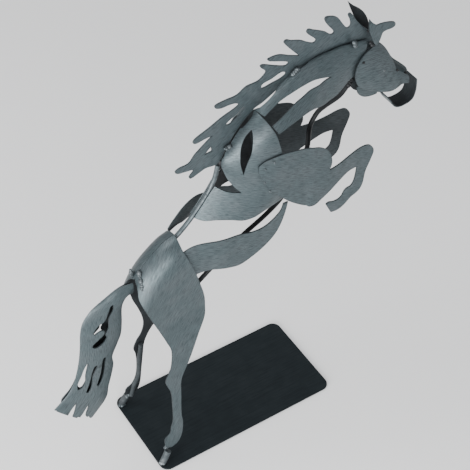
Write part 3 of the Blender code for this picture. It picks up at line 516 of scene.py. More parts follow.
@dataclass
class Barrel(Surface):
    """Half of a rounded body between a crest line and a belly line, widest half way down."""

    crest: Outline
    belly: Outline
    widths: tuple[float, ...]
    powers: tuple[float, ...]
    offset: float
    rungs: int = 240

    def __post_init__(self) -> None:
        """Hold the crest, the belly, the width and the section at even places along the body."""
        self.top = np.stack([self._even(values) for values in zip(*self.crest)], 1)
        self.low = np.stack([self._even(values) for values in zip(*self.belly)], 1)
        self.width = self._even(self.widths)
        self.power = self._even(self.powers)
        middle = (self.top + self.low) / 2
        self.length = float(np.hypot(*(middle[1:] - middle[:-1]).T).sum())
        self.depth = float(np.hypot(*(self.top - self.low).T).mean())

    def _even(self, values: tuple[float, ...]) -> np.ndarray:
        """Make a smooth table through values that are spaced evenly along the body."""
        places = tuple((i / (len(values) - 1), value) for i, value in enumerate(values))
        return np.array([hermite(places, k / self.rungs) for k in range(self.rungs + 1)])

    def pick(self, table: np.ndarray, u: float) -> np.ndarray:
        """Read a table at u, from 0 at the rump to 1 in front."""
        k = min(max(u, 0), 1) * self.rungs
        i = min(int(k), self.rungs - 1)
        return table[i] * (1 - k + i) + table[i + 1] * (k - i)

    def solve(self, x: float, z: float) -> tuple[float, float]:
        """Find a place of the side elevation on the body.

        Args:
            x: forward.
            z: up.

        Returns:
            How far along the body it is and how far from crest to belly, each from 0 to 1.
        """
        rung = self.low - self.top
        q = np.array((x, z)) - self.top
        side = (q[:, 0] * rung[:, 1] - q[:, 1] * rung[:, 0]) / np.hypot(*rung.T)
        i = int(np.argmin(np.abs(side)))
        best = float(i)
        for j in (i - 1, i + 1):
            if 0 <= j <= self.rungs and side[j] * side[i] < 0:
                best = i + (j - i) * abs(side[i]) / (abs(side[i]) + abs(side[j]))
        u = best / self.rungs
        down = self.pick(self.low, u) - self.pick(self.top, u)
        return u, float((np.array((x, z)) - self.pick(self.top, u)) @ down / (down @ down))

    def flat(self, x: float, z: float) -> tuple[float, float]:
        """Unroll a place of the side elevation onto the flat sheet."""
        u, t = self.solve(x, z)
        return u * self.length, math.acos(1 - 2 * min(max(t, 0), 1)) * self.depth / 2

    def bend(self, u: float, v: float) -> tuple[float, float, float]:
        """Give the place in space of a point of the flat sheet."""
        u /= self.length
        angle = min(max(v / (self.depth / 2), 0), math.pi)
        top, low = self.pick(self.top, u), self.pick(self.low, u)
        p = top + (low - top) * (1 - math.cos(angle)) / 2
        power = float(self.pick(self.power, u))
        bulge = max(0, 1 - abs(math.cos(angle)) ** power) ** (1 / power)
        return float(p[0]), float(self.pick(self.width, u) * bulge + self.offset), float(p[1])


@dataclass
class Drape(Surface):
    """A sheet hung from a crest line: it rolls over within a fold, then hangs and spreads."""

    crest: Outline
    fold: float
    width: float
    spread: Callable[[float], float]
    offset: float

    def flat(self, x: float, z: float) -> tuple[float, float]:
        """Unroll a place of the side elevation onto the flat sheet."""
        drop = max(0.0, hermite(self.crest, x) - z)
        if drop < self.fold:
            return x, self.fold * math.acos(1 - drop / self.fold)
        return x, self.fold * math.pi / 2 + drop - self.fold

    def bend(self, u: float, v: float) -> tuple[float, float, float]:
        """Give the place in space of a point of the flat sheet."""
        angle = min(v / self.fold, math.pi / 2)
        drop = self.fold * (1 - math.cos(angle)) + max(0, v - self.fold * math.pi / 2)
        z = hermite(self.crest, u) - drop
        return u, self.offset + self.width * math.sin(angle) + self.spread(z), z


def leg_spread(z: float) -> float:
    """How far a hind leg stands out from the haunch's side at height z."""
    return LEG_SPREAD * max(0.0, 1 - z / HOCK_HEIGHT)


TORSO = Barrel(TORSO_CREST, TORSO_BELLY, TORSO_HALF_WIDTHS, TORSO_POWERS, BESIDE_MANE)
NECK = Barrel(NECK_CREST, NECK_BELLY, NECK_HALF_WIDTHS, NECK_POWERS, BESIDE_MANE)
HEAD = Barrel(HEAD_CREST, HEAD_BELLY, HEAD_HALF_WIDTHS, HEAD_POWERS, SEAM)
TAIL = Barrel(TAIL_BACK, TAIL_FRONT, TAIL_HALF_WIDTHS, TAIL_POWERS, SEAM)
FAR_TAIL = Barrel(TAIL_BACK, TAIL_FRONT, tuple(FAR_TAIL_DEPTH * w for w in TAIL_HALF_WIDTHS),
                  TAIL_POWERS, SEAM)
HAUNCH = Drape(CROUP_CREST, CROUP_FOLD, CROUP_HALF_WIDTH, leg_spread, CREST_SEAM)
UNDER_HAUNCH = Drape(tuple((x, z - TUCK) for x, z in CROUP_CREST), CROUP_FOLD - TUCK,
                     CROUP_HALF_WIDTH - TUCK, leg_spread, CREST_SEAM)


def outside_torso(x: float, z: float, lift: float) -> float:
    """Sideways place off the barrel's upper half, carried straight down below its widest line.

    Args:
        x: forward.
        z: up.
        lift: how far outside the barrel's own sheet.

    Returns:
        The sideways place in millimetres.
    """
    u, t = TORSO.solve(x, z)
    widest = float(TORSO.pick(TORSO.width, u)) + TORSO.offset
    return (TORSO.across(x, z) if t < 0.5 else widest) + lift


def shoulder_y(x: float, z: float) -> float:
    """Shoulder plate over the shell, with the knee and hoof drawn in toward the middle plane."""
    toward_knee = smooth_step((x - ELBOW_X) / FOREARM)
    toward_hoof = smooth_step((HOOF_BEND_Z - z) / HOOF_BEND) if x > ELBOW_X else 0.0
    inward = max(toward_knee, toward_hoof)
    plate = outside_torso(x, z, LAP) if x < SHOULDER_FRONT else SHOULDER_Y
    return plate + (KNEE_Y - plate) * inward


def flank_y(x: float, z: float) -> float:
    """Strip under the haunch's front edge that eases out to lie just inside the barrel's widest line."""
    out = smooth_step((x - HAUNCH_FRONT) / FLANK_EASE)
    widest = float(TORSO.pick(TORSO.width, TORSO.solve(x, z)[0])) + TORSO.offset
    return (1 - out) * UNDER_HAUNCH.across(x, z) + out * (widest - TUCK)


def far_flank_y(x: float, z: float) -> float:
    """Strip under the far haunch that runs upright past the barrel's ridge and then laps its outside."""
    out = smooth_step((x - FAR_FLANK_REAR) / FAR_FLANK_EASE)
    y = FAR_FLANK_REAR_Y + (FAR_FLANK_FRONT_Y - FAR_FLANK_REAR_Y) * out
    return max(y, outside_torso(x, z, TUCK))


def shifted(outline: Outline, shift: tuple[float, float]) -> Outline:
    """Move an outline by (x, z) millimetres."""
    return tuple((p[0] + shift[0], p[1] + shift[1], *p[2:]) for p in outline)


def mirrored(path: Outline) -> Outline:
    """Move a path to the horse's other side."""
    return tuple((x, -y, z) for x, y, z in path)


# Finishes
class Nodes:
    """Adds and joins the nodes of one tree."""

    def __init__(self, tree: bpy.types.NodeTree) -> None:
        """Work on the given tree."""
        self.tree = tree

    def add(self, kind: str, inputs: dict | None = None, **settings: object) -> bpy.types.Node:
        """Add a node.

        Args:
            kind: Blender's node type.
            inputs: values or sockets by input name or number.
            settings: the node's own properties.

        Returns:
            The new node.
        """
        node = self.tree.nodes.new(kind)
        for setting, value in settings.items():
            setattr(node, setting, value)
        for key, value in (inputs or {}).items():
            socket = node.inputs[key]
            if isinstance(value, bpy.types.NodeSocket):
                self.tree.links.new(value, socket)
            else:
                socket.default_value = value
        return node

    def math(self, operation: str, a: object, b: object = 0.0) -> bpy.types.NodeSocket:
        """Join two values by a math node and return its output."""
        return self.add("ShaderNodeMath", {0: a, 1: b}, operation=operation).outputs[0]

    def noise(self, vector: object, scale: object, detail: float,
              rough: float = 0.5) -> bpy.types.NodeSocket:
        """Noise over a vector, as its value output."""
        return self.add("ShaderNodeTexNoise", {"Vector": vector, "Scale": scale, "Detail": detail,
                                               "Roughness": rough}).outputs[0]

    def spread(self, value: object, low: object, high: object,
               to: tuple[float, float] = (0.0, 1.0)) -> bpy.types.NodeSocket:
        """Ease a value from low to high onto another range and return the output."""
        node = self.add("ShaderNodeMapRange", {"Value": value, "From Min": low, "From Max": high,
                                               "To Min": to[0], "To Max": to[1]},
                        interpolation_type="SMOOTHSTEP")
        return node.outputs[0]

    def mix(self, share: object, a: object, b: object) -> bpy.types.NodeSocket:
        """Blend two colours and return the output."""
        return self.add("ShaderNodeMix", {0: share, 6: a, 7: b}, data_type="RGBA").outputs[2]


class Groups:
    """Shader groups that more than one finish uses."""

    def __init__(self) -> None:
        """Build each group once."""
        self.strokes = self._strokes()
        self.edge = self._edge()
        self.mottle = self._mottle()

    def _new(self, name: str, *sockets: str) -> tuple[bpy.types.NodeTree, Nodes, object]:
        """Start a group.

        Args:
            name: the group's name.
            sockets: the inputs' names. The one named Vector takes a place, the others a number.

        Returns:
            The tree, its helper and its inputs.
        """
        tree = bpy.data.node_groups.new(name, "ShaderNodeTree")
        for label in sockets:
            kind = "NodeSocketVector" if label == "Vector" else "NodeSocketFloat"
            tree.interface.new_socket(name=label, in_out="INPUT", socket_type=kind)
        tree.interface.new_socket(name="Mask", in_out="OUTPUT", socket_type="NodeSocketFloat")
        nodes = Nodes(tree)
        return tree, nodes, nodes.add("NodeGroupInput").outputs

    def _strokes(self) -> bpy.types.NodeTree:
        """Strokes drawn out along the pattern's first axis."""
        tree, nodes, given = self._new("brush strokes", "Vector", "Along", "Across", "Low", "High")
        scale = nodes.add("ShaderNodeCombineXYZ", {"X": given["Along"], "Y": given["Across"],
                                                   "Z": given["Across"]})
        stretched = nodes.add("ShaderNodeVectorMath", {0: given["Vector"], 1: scale.outputs[0]},
                              operation="MULTIPLY")
        grain = nodes.noise(stretched.outputs[0], 1.0, STROKE_DETAIL, STROKE_GRAIN)
        nodes.add("NodeGroupOutput", {"Mask": nodes.spread(grain, given["Low"], given["High"])})
        return tree

    def _edge(self) -> bpy.types.NodeTree:
        """Band along a cut edge, with a ragged inner side."""
        tree, nodes, given = self._new("cut edge", "Rim", "Vector", "Width", "Ragged")
        grain = nodes.noise(given["Vector"], EDGE_GRAIN, EDGE_DETAIL)
        moved = nodes.math("ADD", given["Rim"], nodes.math("MULTIPLY", grain, given["Ragged"]))
        nodes.add("NodeGroupOutput", {"Mask": nodes.spread(moved, given["Width"], 0.0)})
        return tree

    def _mottle(self) -> bpy.types.NodeTree:
        """Soft patches."""
        tree, nodes, given = self._new("mottle", "Vector", "Size", "Low", "High")
        cells = nodes.noise(given["Vector"], given["Size"], MOTTLE_DETAIL)
        nodes.add("NodeGroupOutput", {"Mask": nodes.spread(cells, given["Low"], given["High"])})
        return tree

    def use(self, nodes: Nodes, tree: bpy.types.NodeTree, **inputs: object) -> bpy.types.NodeSocket:
        """Place a group in a material and return its mask."""
        named = {key.capitalize(): value for key, value in inputs.items()}
        return nodes.add("ShaderNodeGroup", named, node_tree=tree).outputs["Mask"]


@dataclass(frozen=True)
class Lacquer:
    """Satin lacquer over steel, dry-brushed dark, with painted shade in black where the inner attribute
    marks.

    Attributes:
        name: what the finish is called.
        body: the main colour.
        pale: the colour of rubbed patches.
        dark: the colour of brushed-in black, also laid on inner faces and shaded rods as painted shade.
        metallic: how much of it is bare metal, where no black is painted as shade.
        roughness: the mean roughness.
        dabs: how much of the surface dark dabs take, from 0 to 1.
        unrolled: whether the strokes follow the unrolled sheet or the horse's own axes.
        along: strokes per unit along them.
        across: strokes per unit across them.
        edge: width of the dark line along a cut edge, in millimetres, or 0.
        bump: height of the strokes.
        gloss: how strongly the lacquer reflects.
        sweep: how far the strokes darken the body, from 0 to 1.
    """

    name: str
    body: Colour
    pale: Colour
    dark: Colour
    metallic: float = 0.6
    roughness: float = 0.42
    dabs: float = 0.3
    unrolled: bool = True
    along: float = 1.4
    across: float = 15.0
    edge: float = 0.8
    bump: float = 0.05
    gloss: float = 0.3
    sweep: float = 0.34

    def material(self, groups: Groups) -> bpy.types.Material:
        """Build the finish.

        Args:
            groups: the shared shader groups.

        Returns:
            The material.
        """
        mat = bpy.data.materials.new(self.name)
        mat.use_nodes = True
        mat.diffuse_color = (*self.body, 1.0)
        black = (*self.dark, 1.0)
        nodes = Nodes(mat.node_tree)
        body = nodes.add("ShaderNodeTexCoord").outputs["Object"]
        if self.unrolled:
            run = nodes.add("ShaderNodeUVMap", uv_map="brush").outputs[0]
        else:
            run = nodes.add("ShaderNodeMapping", {"Vector": body, "Scale": (AXES_SCALE,) * 3}).outputs[0]
        low, high = STROKE_LEVELS
        fine = groups.use(nodes, groups.strokes, vector=run, along=self.along, across=self.across,
                          low=low, high=high)
        low, high = (level - DAB_REACH * self.dabs for level in DAB_LEVELS)
        dab = groups.use(nodes, groups.strokes, vector=run, along=self.along * DAB_ALONG,
                         across=self.across * DAB_ACROSS, low=low, high=high)
        patch, soft = (groups.use(nodes, groups.mottle, vector=body, size=size, low=low, high=high)
                       for size, (low, high) in ((PATCH_SIZE, PATCH_LEVELS), (CLOUD_SIZE, CLOUD_LEVELS)))
        colour = nodes.mix(nodes.math("MULTIPLY", soft, CLOUD_SHARE), (*self.body, 1.0), (*self.pale, 1.0))
        colour = nodes.mix(nodes.math("MULTIPLY", fine, self.sweep), colour, black)
        share = nodes.math("MULTIPLY", dab, nodes.math("MULTIPLY", patch, PATCH_SHARE))
        colour = nodes.mix(share, colour, black)
        # Painted shade: black laid over what the inner attribute marks (inner faces of sheets, the muzzle
        # band's inside, shaded rods), thinned a little under soft patches
        inner = nodes.add("ShaderNodeAttribute", attribute_name="inner").outputs["Fac"]
        cover = nodes.math("SUBTRACT", INNER_SHADE_COVER, nodes.math("MULTIPLY", soft, INNER_SHADE_WEAR))
        colour = nodes.mix(nodes.math("MULTIPLY", inner, cover), colour, black)
        if self.edge:
            rim = nodes.add("ShaderNodeAttribute", attribute_name="rim").outputs["Fac"]
            line = groups.use(nodes, groups.edge, rim=rim, vector=body, width=self.edge + EDGE_MARGIN,
                              ragged=EDGE_RAGGED)
            colour = nodes.mix(nodes.math("MULTIPLY", line, EDGE_SHARE), colour, black)
        worn = nodes.spread(fine, 0.0, 1.0, (self.roughness - SMOOTHER, self.roughness + ROUGHER))
        rough = nodes.math("ADD", worn, nodes.math("MULTIPLY", inner, INNER_FACE_ROUGHNESS))
        dent = nodes.noise(body, DENT_SIZE, DENT_DETAIL)
        height = nodes.math("ADD", nodes.math("MULTIPLY", fine, self.bump), dent)
        bump = nodes.add("ShaderNodeBump", {"Height": height, "Strength": BUMP_STRENGTH,
                                            "Distance": BUMP_DEPTH}).outputs[0]
        bare = nodes.math("MULTIPLY", nodes.math("SUBTRACT", 1.0, inner), self.metallic)
        shader = mat.node_tree.nodes["Principled BSDF"]
        shader.inputs["Specular IOR Level"].default_value = self.gloss
        for value, name in ((bare, "Metallic"), (colour, "Base Color"), (rough, "Roughness"),
                            (bump, "Normal")):
            mat.node_tree.links.new(value, shader.inputs[name])
        return mat


FINISHES = {
    Paint.SHEET: Lacquer("blue-grey brushed lacquer", (0.072, 0.096, 0.104), (0.10, 0.118, 0.127),
                         (0.006, 0.008, 0.010), dabs=0.32, sweep=0.5),
    Paint.MANE: Lacquer("dark blue-grey lacquer", (0.072, 0.096, 0.105), (0.10, 0.12, 0.13),
                        (0.006, 0.008, 0.010), dabs=0.35, sweep=0.5),
    Paint.ROD: Lacquer("grey rod lacquer", (0.078, 0.097, 0.105), (0.12, 0.135, 0.143),
                       (0.010, 0.013, 0.015), unrolled=False, along=2.0, across=2.0, edge=0.0),
    # Painted shade: near-black lacquer for a rod and beads that lie in shade.
    Paint.DARK_ROD: Lacquer("black rod lacquer for painted shade", (0.012, 0.013, 0.014), (0.03, 0.033, 0.036),
                            (0.006, 0.006, 0.007), metallic=0.15, gloss=0.2, unrolled=False, along=2.0,
                            across=2.0, edge=0.0),
    Paint.PLATE: Lacquer("black brushed lacquer", (0.0085, 0.0125, 0.0148), (0.013, 0.018, 0.021),
                         (0.005, 0.0075, 0.009), metallic=0.1, roughness=0.55, unrolled=False, along=0.35,
                         across=7.0, edge=0.0, gloss=0.15),
    Paint.HOOF: Lacquer("lacquered weld metal", (0.075, 0.092, 0.10), (0.20, 0.22, 0.23),
                        (0.010, 0.012, 0.014), unrolled=False, along=5.0, across=5.0, edge=0.0, bump=0.3,
                        dabs=0.8),
}


class Workshop:
    """Holds the finishes and hands each finished piece to the frame."""

    def __init__(self) -> None:
        """Mix the finishes."""
        groups = Groups()
        self.paint = {slot: finish.material(groups) for slot, finish in FINISHES.items()}
        self.count = 0

    def mesh(self, name: str, verts: list, faces: list) -> bpy.types.Object:
        """Make a smooth mesh object from places in the side elevation.

        Args:
            name: the object's name.
            verts: (x, y, z) in millimetres.
            faces: corners of each face.

        Returns:
            The new object, linked to the scene.
        """
        mesh = bpy.data.meshes.new(name)
        mesh.from_pydata([put(*v) for v in verts], [], faces)
        for poly in mesh.polygons:
            poly.use_smooth = True
        return linked(name, mesh)

    def soften(self, obj: bpy.types.Object, width: float) -> None:
        """Round the edges by width millimetres and keep flat faces flat."""
        bevel = obj.modifiers.new("filed edge", "BEVEL")
        bevel.width = width / 1000
        bevel.segments = 2
        bevel.limit_method = "ANGLE"
        bevel.angle_limit = math.radians(FILED_BEND)
        bevel.use_clamp_overlap = False
        normals = obj.modifiers.new("flat faces", "WEIGHTED_NORMAL")
        normals.keep_sharp = True

    def hand_over(self, obj: bpy.types.Object, paint: Paint, *nodes: str) -> None:
        """Paint a piece and give it to the frame.

        Args:
            obj: the piece.
            paint: its finish.
            nodes: the CAD nodes that it stands for.
        """
        if not obj.data.materials:
            obj.data.materials.append(self.paint[paint])
        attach(obj, "root")
        if nodes:
            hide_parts(*nodes)
        self.count += 1
        LOG.info("%s: %d faces", obj.name, len(obj.data.polygons))


@dataclass
class SteelSheet:
    """One sheet, cut to an outline and bent to a surface.

    Attributes:
        node: the CAD node that it stands for, and its own name's stem.
        outline: the cut, in side elevation.
        surface: what it is bent to.
        side: which half of the horse it belongs to.
        brush: direction of the brush strokes on the unrolled sheet, in degrees.
        holes: cuts inside the outline.
        paint: its finish.
        step: mesh step across the sheet.
        edge: mesh step along a cut.
        thick: thickness of the steel.
        primer: how far its inner face is painted black as shade, from 0 to 1.
        flush: distance from the middle plane within which the cut is ground flush and painted over.
    """

    node: str
    outline: Outline
    surface: Surface
    side: Side
    brush: float = 0.0
    holes: tuple[Outline, ...] = ()
    paint: Paint = Paint.SHEET
    step: float = 3.2
    edge: float = 2.0
    thick: float = SHEET
    primer: float = 1.0
    flush: float = 0.0

    def _grid(self, rings: list[np.ndarray]) -> np.ndarray:
        """Points inside the cut, clear of its edges."""
        low, high = rings[0].min(0), rings[0].max(0)
        rows = []
        for row, v in enumerate(np.arange(low[1] + self.step / 2, high[1], self.step * ROW_SHARE)):
            shift = self.step / 2 if row % 2 else 0.0
            rows += [(u, v) for u in np.arange(low[0] + shift, high[0], self.step)]
        points = np.array(rows)
        keep = within(points, rings[0])
        for ring in rings[1:]:
            keep &= ~within(points, ring)
        points = points[keep]
        clear = np.min([distance_to(points, ring) for ring in rings], 0)
        return points[clear > CLEAR_SHARE * self.step]

    def _flat_mesh(self) -> tuple[np.ndarray, list[tuple[int, ...]], list[np.ndarray]]:
        """Fill the unrolled cut with triangles.

        Returns:
            The flat points, the triangles and the rings of the cut.
        """
        lines = [rounded(line, self.edge) for line in (self.outline, *self.holes)]
        rings = [np.array([self.surface.flat(*p) for p in line]) for line in lines]
        edges = []
        start = 0
        for ring in rings:
            edges += [(start + i, start + (i + 1) % len(ring)) for i in range(len(ring))]
            start += len(ring)
        points = np.vstack([*rings, self._grid(rings)])
        flat, _, tris, *_ = delaunay_2d_cdt([Vector(p) for p in points], edges, [], 0, SAME_PLACE)
        flat = np.array(flat)
        middle = np.array([flat[list(tri)].mean(0) for tri in tris])
        keep = within(middle, rings[0])
        for ring in rings[1:]:
            keep &= ~within(middle, ring)
        kept = [tuple(tri) for tri, good in zip(tris, keep) if good]
        used = sorted({i for tri in kept for i in tri})
        index = {old: new for new, old in enumerate(used)}
        return flat[used], [tuple(index[i] for i in tri) for tri in kept], rings

    def build(self, shop: Workshop) -> None:
        """Cut, bend, thicken and paint the sheet.

        Args:
            shop: the workshop that finishes it.
        """
        flat, tris, rings = self._flat_mesh()
        middle = np.array([self.surface.bend(*p) for p in flat])
        corner = middle[np.array(tris)]
        face_normal = np.cross(corner[:, 1] - corner[:, 0], corner[:, 2] - corner[:, 0])
        normal = np.zeros_like(middle)
        for k in range(3):
            np.add.at(normal, [tri[k] for tri in tris], face_normal)
        normal *= self.thick / 2 / np.linalg.norm(normal, axis=1)[:, None]
        count = len(middle)
        verts = np.vstack([middle + normal, middle - normal])
        faces = [*tris] + [(c + count, b + count, a + count) for a, b, c in tris]
        border = {(i, j) for a, b, c in tris for i, j in ((a, b), (b, c), (c, a))}
        faces += [(j, i, i + count, j + count) for i, j in border if (j, i) not in border]
        outward = float(np.mean(normal[:, 1])) > 0
        if self.side is Side.RIGHT:
            verts[:, 1] *= -1
            faces = [tuple(reversed(f)) for f in faces]
        obj = shop.mesh(self.node + "_sheet", verts.tolist(), faces)
        rim = np.minimum(np.min([distance_to(flat, ring) for ring in rings], 0), RIM_REACH)
        rim += RIM_REACH * (np.abs(middle[:, 1]) < self.flush)
        # Painted shade: the face toward the middle plane is blackened by the sheet's own share
        inner = np.repeat([0.0, 1.0] if outward else [1.0, 0.0], count) * self.primer
        self._mark(obj, flat, np.tile(rim, 2), inner)
        shop.soften(obj, FILED_SHEET)
        shop.hand_over(obj, self.paint, self.node)

    def _mark(self, obj: bpy.types.Object, flat: np.ndarray, rim: np.ndarray, inner: np.ndarray) -> None:
        """Store the brush direction, the distance to the cut and the inner face on the mesh.

        Args:
            obj: the sheet.
            flat: the unrolled points.
            rim: distance of each vertex to the cut, in millimetres.
            inner: how far each vertex is left black, from 0 to 1.
        """
        mesh = obj.data
        turn = math.radians(self.brush)
        run = np.stack([flat[:, 0] * math.cos(turn) + flat[:, 1] * math.sin(turn),
                        flat[:, 1] * math.cos(turn) - flat[:, 0] * math.sin(turn)], 1) / STROKE_UNIT
        run = np.vstack([run, run + INNER_SHIFT]) + len(self.node) * NAME_SHIFT
        layer = mesh.uv_layers.new(name="brush")
        corners = np.array([loop.vertex_index for loop in mesh.loops])
        layer.data.foreach_set("uv", run[corners].astype(np.float32).ravel())
        store(mesh, "rim", rim)
        store(mesh, "inner", inner)


@dataclass
class Rod:
    """Round bar along a smooth path.

    Attributes:
        node: the CAD node that it stands for.
        path: places that its middle passes, in millimetres.
        radius: its radius.
        paint: its finish.
        sides: faces round it.
        step: mesh step along it.
        shade: how far it is painted black as shade, from 0 to 1.
    """

    node: str
    path: Outline
    radius: float = ROD
    paint: Paint = Paint.ROD
    sides: int = 20
    step: float = 3.0
    shade: float = 0.0

    def build(self, shop: Workshop) -> None:
        """Bend and paint the bar.

        Args:
            shop: the workshop that finishes it.
        """
        line = path3(self.path, self.step)
        verts, faces = [], []
        across = Vector((0, 1, 0))
        last = len(line) - 1
        for i, p in enumerate(line):
            along = (line[min(i + 1, last)] - line[max(i - 1, 0)]).normalized()
            a = (across - along * across.dot(along)).normalized()
            b = along.cross(a)
            for k in range(self.sides):
                turn = 2 * math.pi * k / self.sides
                verts.append(p + (a * math.cos(turn) + b * math.sin(turn)) * self.radius)
        for i in range(last):
            for k in range(self.sides):
                p, q = i * self.sides + k, i * self.sides + (k + 1) % self.sides
                faces.append((p, q, q + self.sides, p + self.sides))
        faces.append(tuple(reversed(range(self.sides))))
        faces.append(tuple(range(last * self.sides, (last + 1) * self.sides)))
        obj = shop.mesh(self.node + "_bar", verts, faces)
        # Painted shade: the bar is darkened toward black by its shade share
        store(obj.data, "inner", [self.shade] * len(verts))
        shop.soften(obj, FILED_ROD)
        shop.hand_over(obj, self.paint, self.node)


@dataclass
class BasePlate:
    """Thin plate with rounded corners that the hooves are welded to."""

    length: float = PLATE_LENGTH
    width: float = PLATE_WIDTH
    thick: float = PLATE_THICK
    corner: float = PLATE_CORNER
    turns: int = 16

    def build(self, shop: Workshop) -> None:
        """Cut and paint the plate.

        Args:
            shop: the workshop that finishes it.
        """
        r = self.corner
        ring = []
        for cx, cy, start in ((self.length - r, self.width / 2 - r, 0), (r, self.width / 2 - r, 90),
                              (r, r - self.width / 2, 180), (self.length - r, r - self.width / 2, 270)):
            for k in range(self.turns + 1):
                a = math.radians(start + 90 * k / self.turns)
                ring.append((cx + r * math.cos(a), cy + r * math.sin(a)))
        n = len(ring)
        verts = [(x, y, -self.thick) for x, y in ring] + [(x, y, 0) for x, y in ring]
        faces = [tuple(reversed(range(n))), tuple(range(n, 2 * n))]
        faces += [(i, (i + 1) % n, (i + 1) % n + n, i + n) for i in range(n)]
        obj = shop.mesh("plate", verts, faces)
        shop.soften(obj, FILED_PLATE)
        shop.hand_over(obj, Paint.PLATE, "base_plate")


class WeldTree:
    """Geometry Nodes that lay a row of uneven beads along a line."""

    def __init__(self, shop: Workshop) -> None:
        """Build the tree.

        Args:
            shop: the workshop that finishes the beads.
        """
        self.shop = shop
        self.tree = bpy.data.node_groups.new("weld beads", "GeometryNodeTree")
        self.tree.interface.new_socket(name="Line", in_out="INPUT", socket_type="NodeSocketGeometry")
        self.inputs = {}
        for label, kind in (("Spacing", "NodeSocketFloat"), ("Radius", "NodeSocketFloat"),
                            ("Uneven", "NodeSocketFloat"), ("Seed", "NodeSocketInt"),
                            ("Paint", "NodeSocketMaterial")):
            item = self.tree.interface.new_socket(name=label, in_out="INPUT", socket_type=kind)
            self.inputs[label] = item.identifier
        self.tree.interface.new_socket(name="Beads", in_out="OUTPUT", socket_type="NodeSocketGeometry")
        self._wire()

    def _wire(self) -> None:
        """Resample the line, set a bead on each point and roughen them all."""
        nodes = Nodes(self.tree)
        given = nodes.add("NodeGroupInput").outputs
        curve = nodes.add("GeometryNodeMeshToCurve", {"Mesh": given["Line"]})
        even = nodes.add("GeometryNodeResampleCurve", {"Curve": curve.outputs[0],
                                                       "Length": given["Spacing"]}, mode="LENGTH")
        ball = nodes.add("GeometryNodeMeshIcoSphere", {"Radius": given["Radius"],
                                                        "Subdivisions": BEAD_SUBDIVISIONS})
        turn = nodes.add("FunctionNodeRandomValue", {
            0: (0.0, 0.0, 0.0), 1: (BEAD_TURN,) * 3, "Seed": given["Seed"]}, data_type="FLOAT_VECTOR")
        low = nodes.math("SUBTRACT", 1.0, given["Uneven"])
        high = nodes.math("ADD", 1.0, given["Uneven"])
        size = nodes.add("FunctionNodeRandomValue", {2: low, 3: high, "Seed": given["Seed"]},
                         data_type="FLOAT")
        beads = nodes.add("GeometryNodeInstanceOnPoints", {
            "Points": even.outputs[0], "Instance": ball.outputs[0], "Rotation": turn.outputs[0],
            "Scale": size.outputs[1]})
        real = nodes.add("GeometryNodeRealizeInstances", {"Geometry": beads.outputs[0]})
        lumps = nodes.add("ShaderNodeTexNoise", {"Scale": LUMP_SIZE, "Detail": LUMP_DETAIL})
        centred = nodes.add("ShaderNodeVectorMath", {0: lumps.outputs[1], 1: (0.5, 0.5, 0.5)},
                            operation="SUBTRACT")
        shift = nodes.add("ShaderNodeVectorMath", {0: centred.outputs[0], "Scale": given["Radius"]},
                          operation="SCALE")
        rough = nodes.add("GeometryNodeSetPosition", {
            "Geometry": real.outputs[0], "Offset": shift.outputs[0]})
        smooth = nodes.add("GeometryNodeSetShadeSmooth", {"Geometry": rough.outputs[0]})
        done = nodes.add("GeometryNodeSetMaterial", {"Geometry": smooth.outputs[0],
                                                     "Material": given["Paint"]})
        nodes.add("NodeGroupOutput", {0: done.outputs[0]})

    def run(self, weld: "Weld") -> None:
        """Lay one weld and turn it into a plain mesh.

        Args:
            weld: where it runs and how thick it is.
        """
        line = bpy.data.meshes.new("line")
        verts = [put(*p) for p in weld.path]
        line.from_pydata(verts, [(i, i + 1) for i in range(len(verts) - 1)], [])
        guide = linked("guide", line)
        run = guide.modifiers.new("beads", "NODES")
        run.node_group = self.tree
        for label, value in (("Spacing", weld.spacing / 1000), ("Radius", weld.radius / 1000),
                             ("Uneven", weld.uneven), ("Seed", weld.seed),
                             ("Paint", self.shop.paint[weld.paint])):
            run[self.inputs[label]] = value
        bpy.context.view_layer.update()
        shape = guide.evaluated_get(bpy.context.evaluated_depsgraph_get())
        mesh = bpy.data.meshes.new_from_object(shape)
        guide.modifiers.remove(run)
        bpy.data.objects.remove(guide)
        self.shop.hand_over(linked(weld.name, mesh), weld.paint)


@dataclass(frozen=True)
class Weld:
    """One run of weld metal.

    Attributes:
        name: the piece's name.
        path: places that it passes, in millimetres.
        radius: bead radius.
        spacing: distance between beads.
        uneven: how far bead sizes differ, from 0 to 1.
        seed: number that fixes the beads' sizes and turns.
        paint: its finish.
    """

    name: str
    path: Outline
    radius: float
    spacing: float
    uneven: float
    seed: int
    paint: Paint = Paint.HOOF


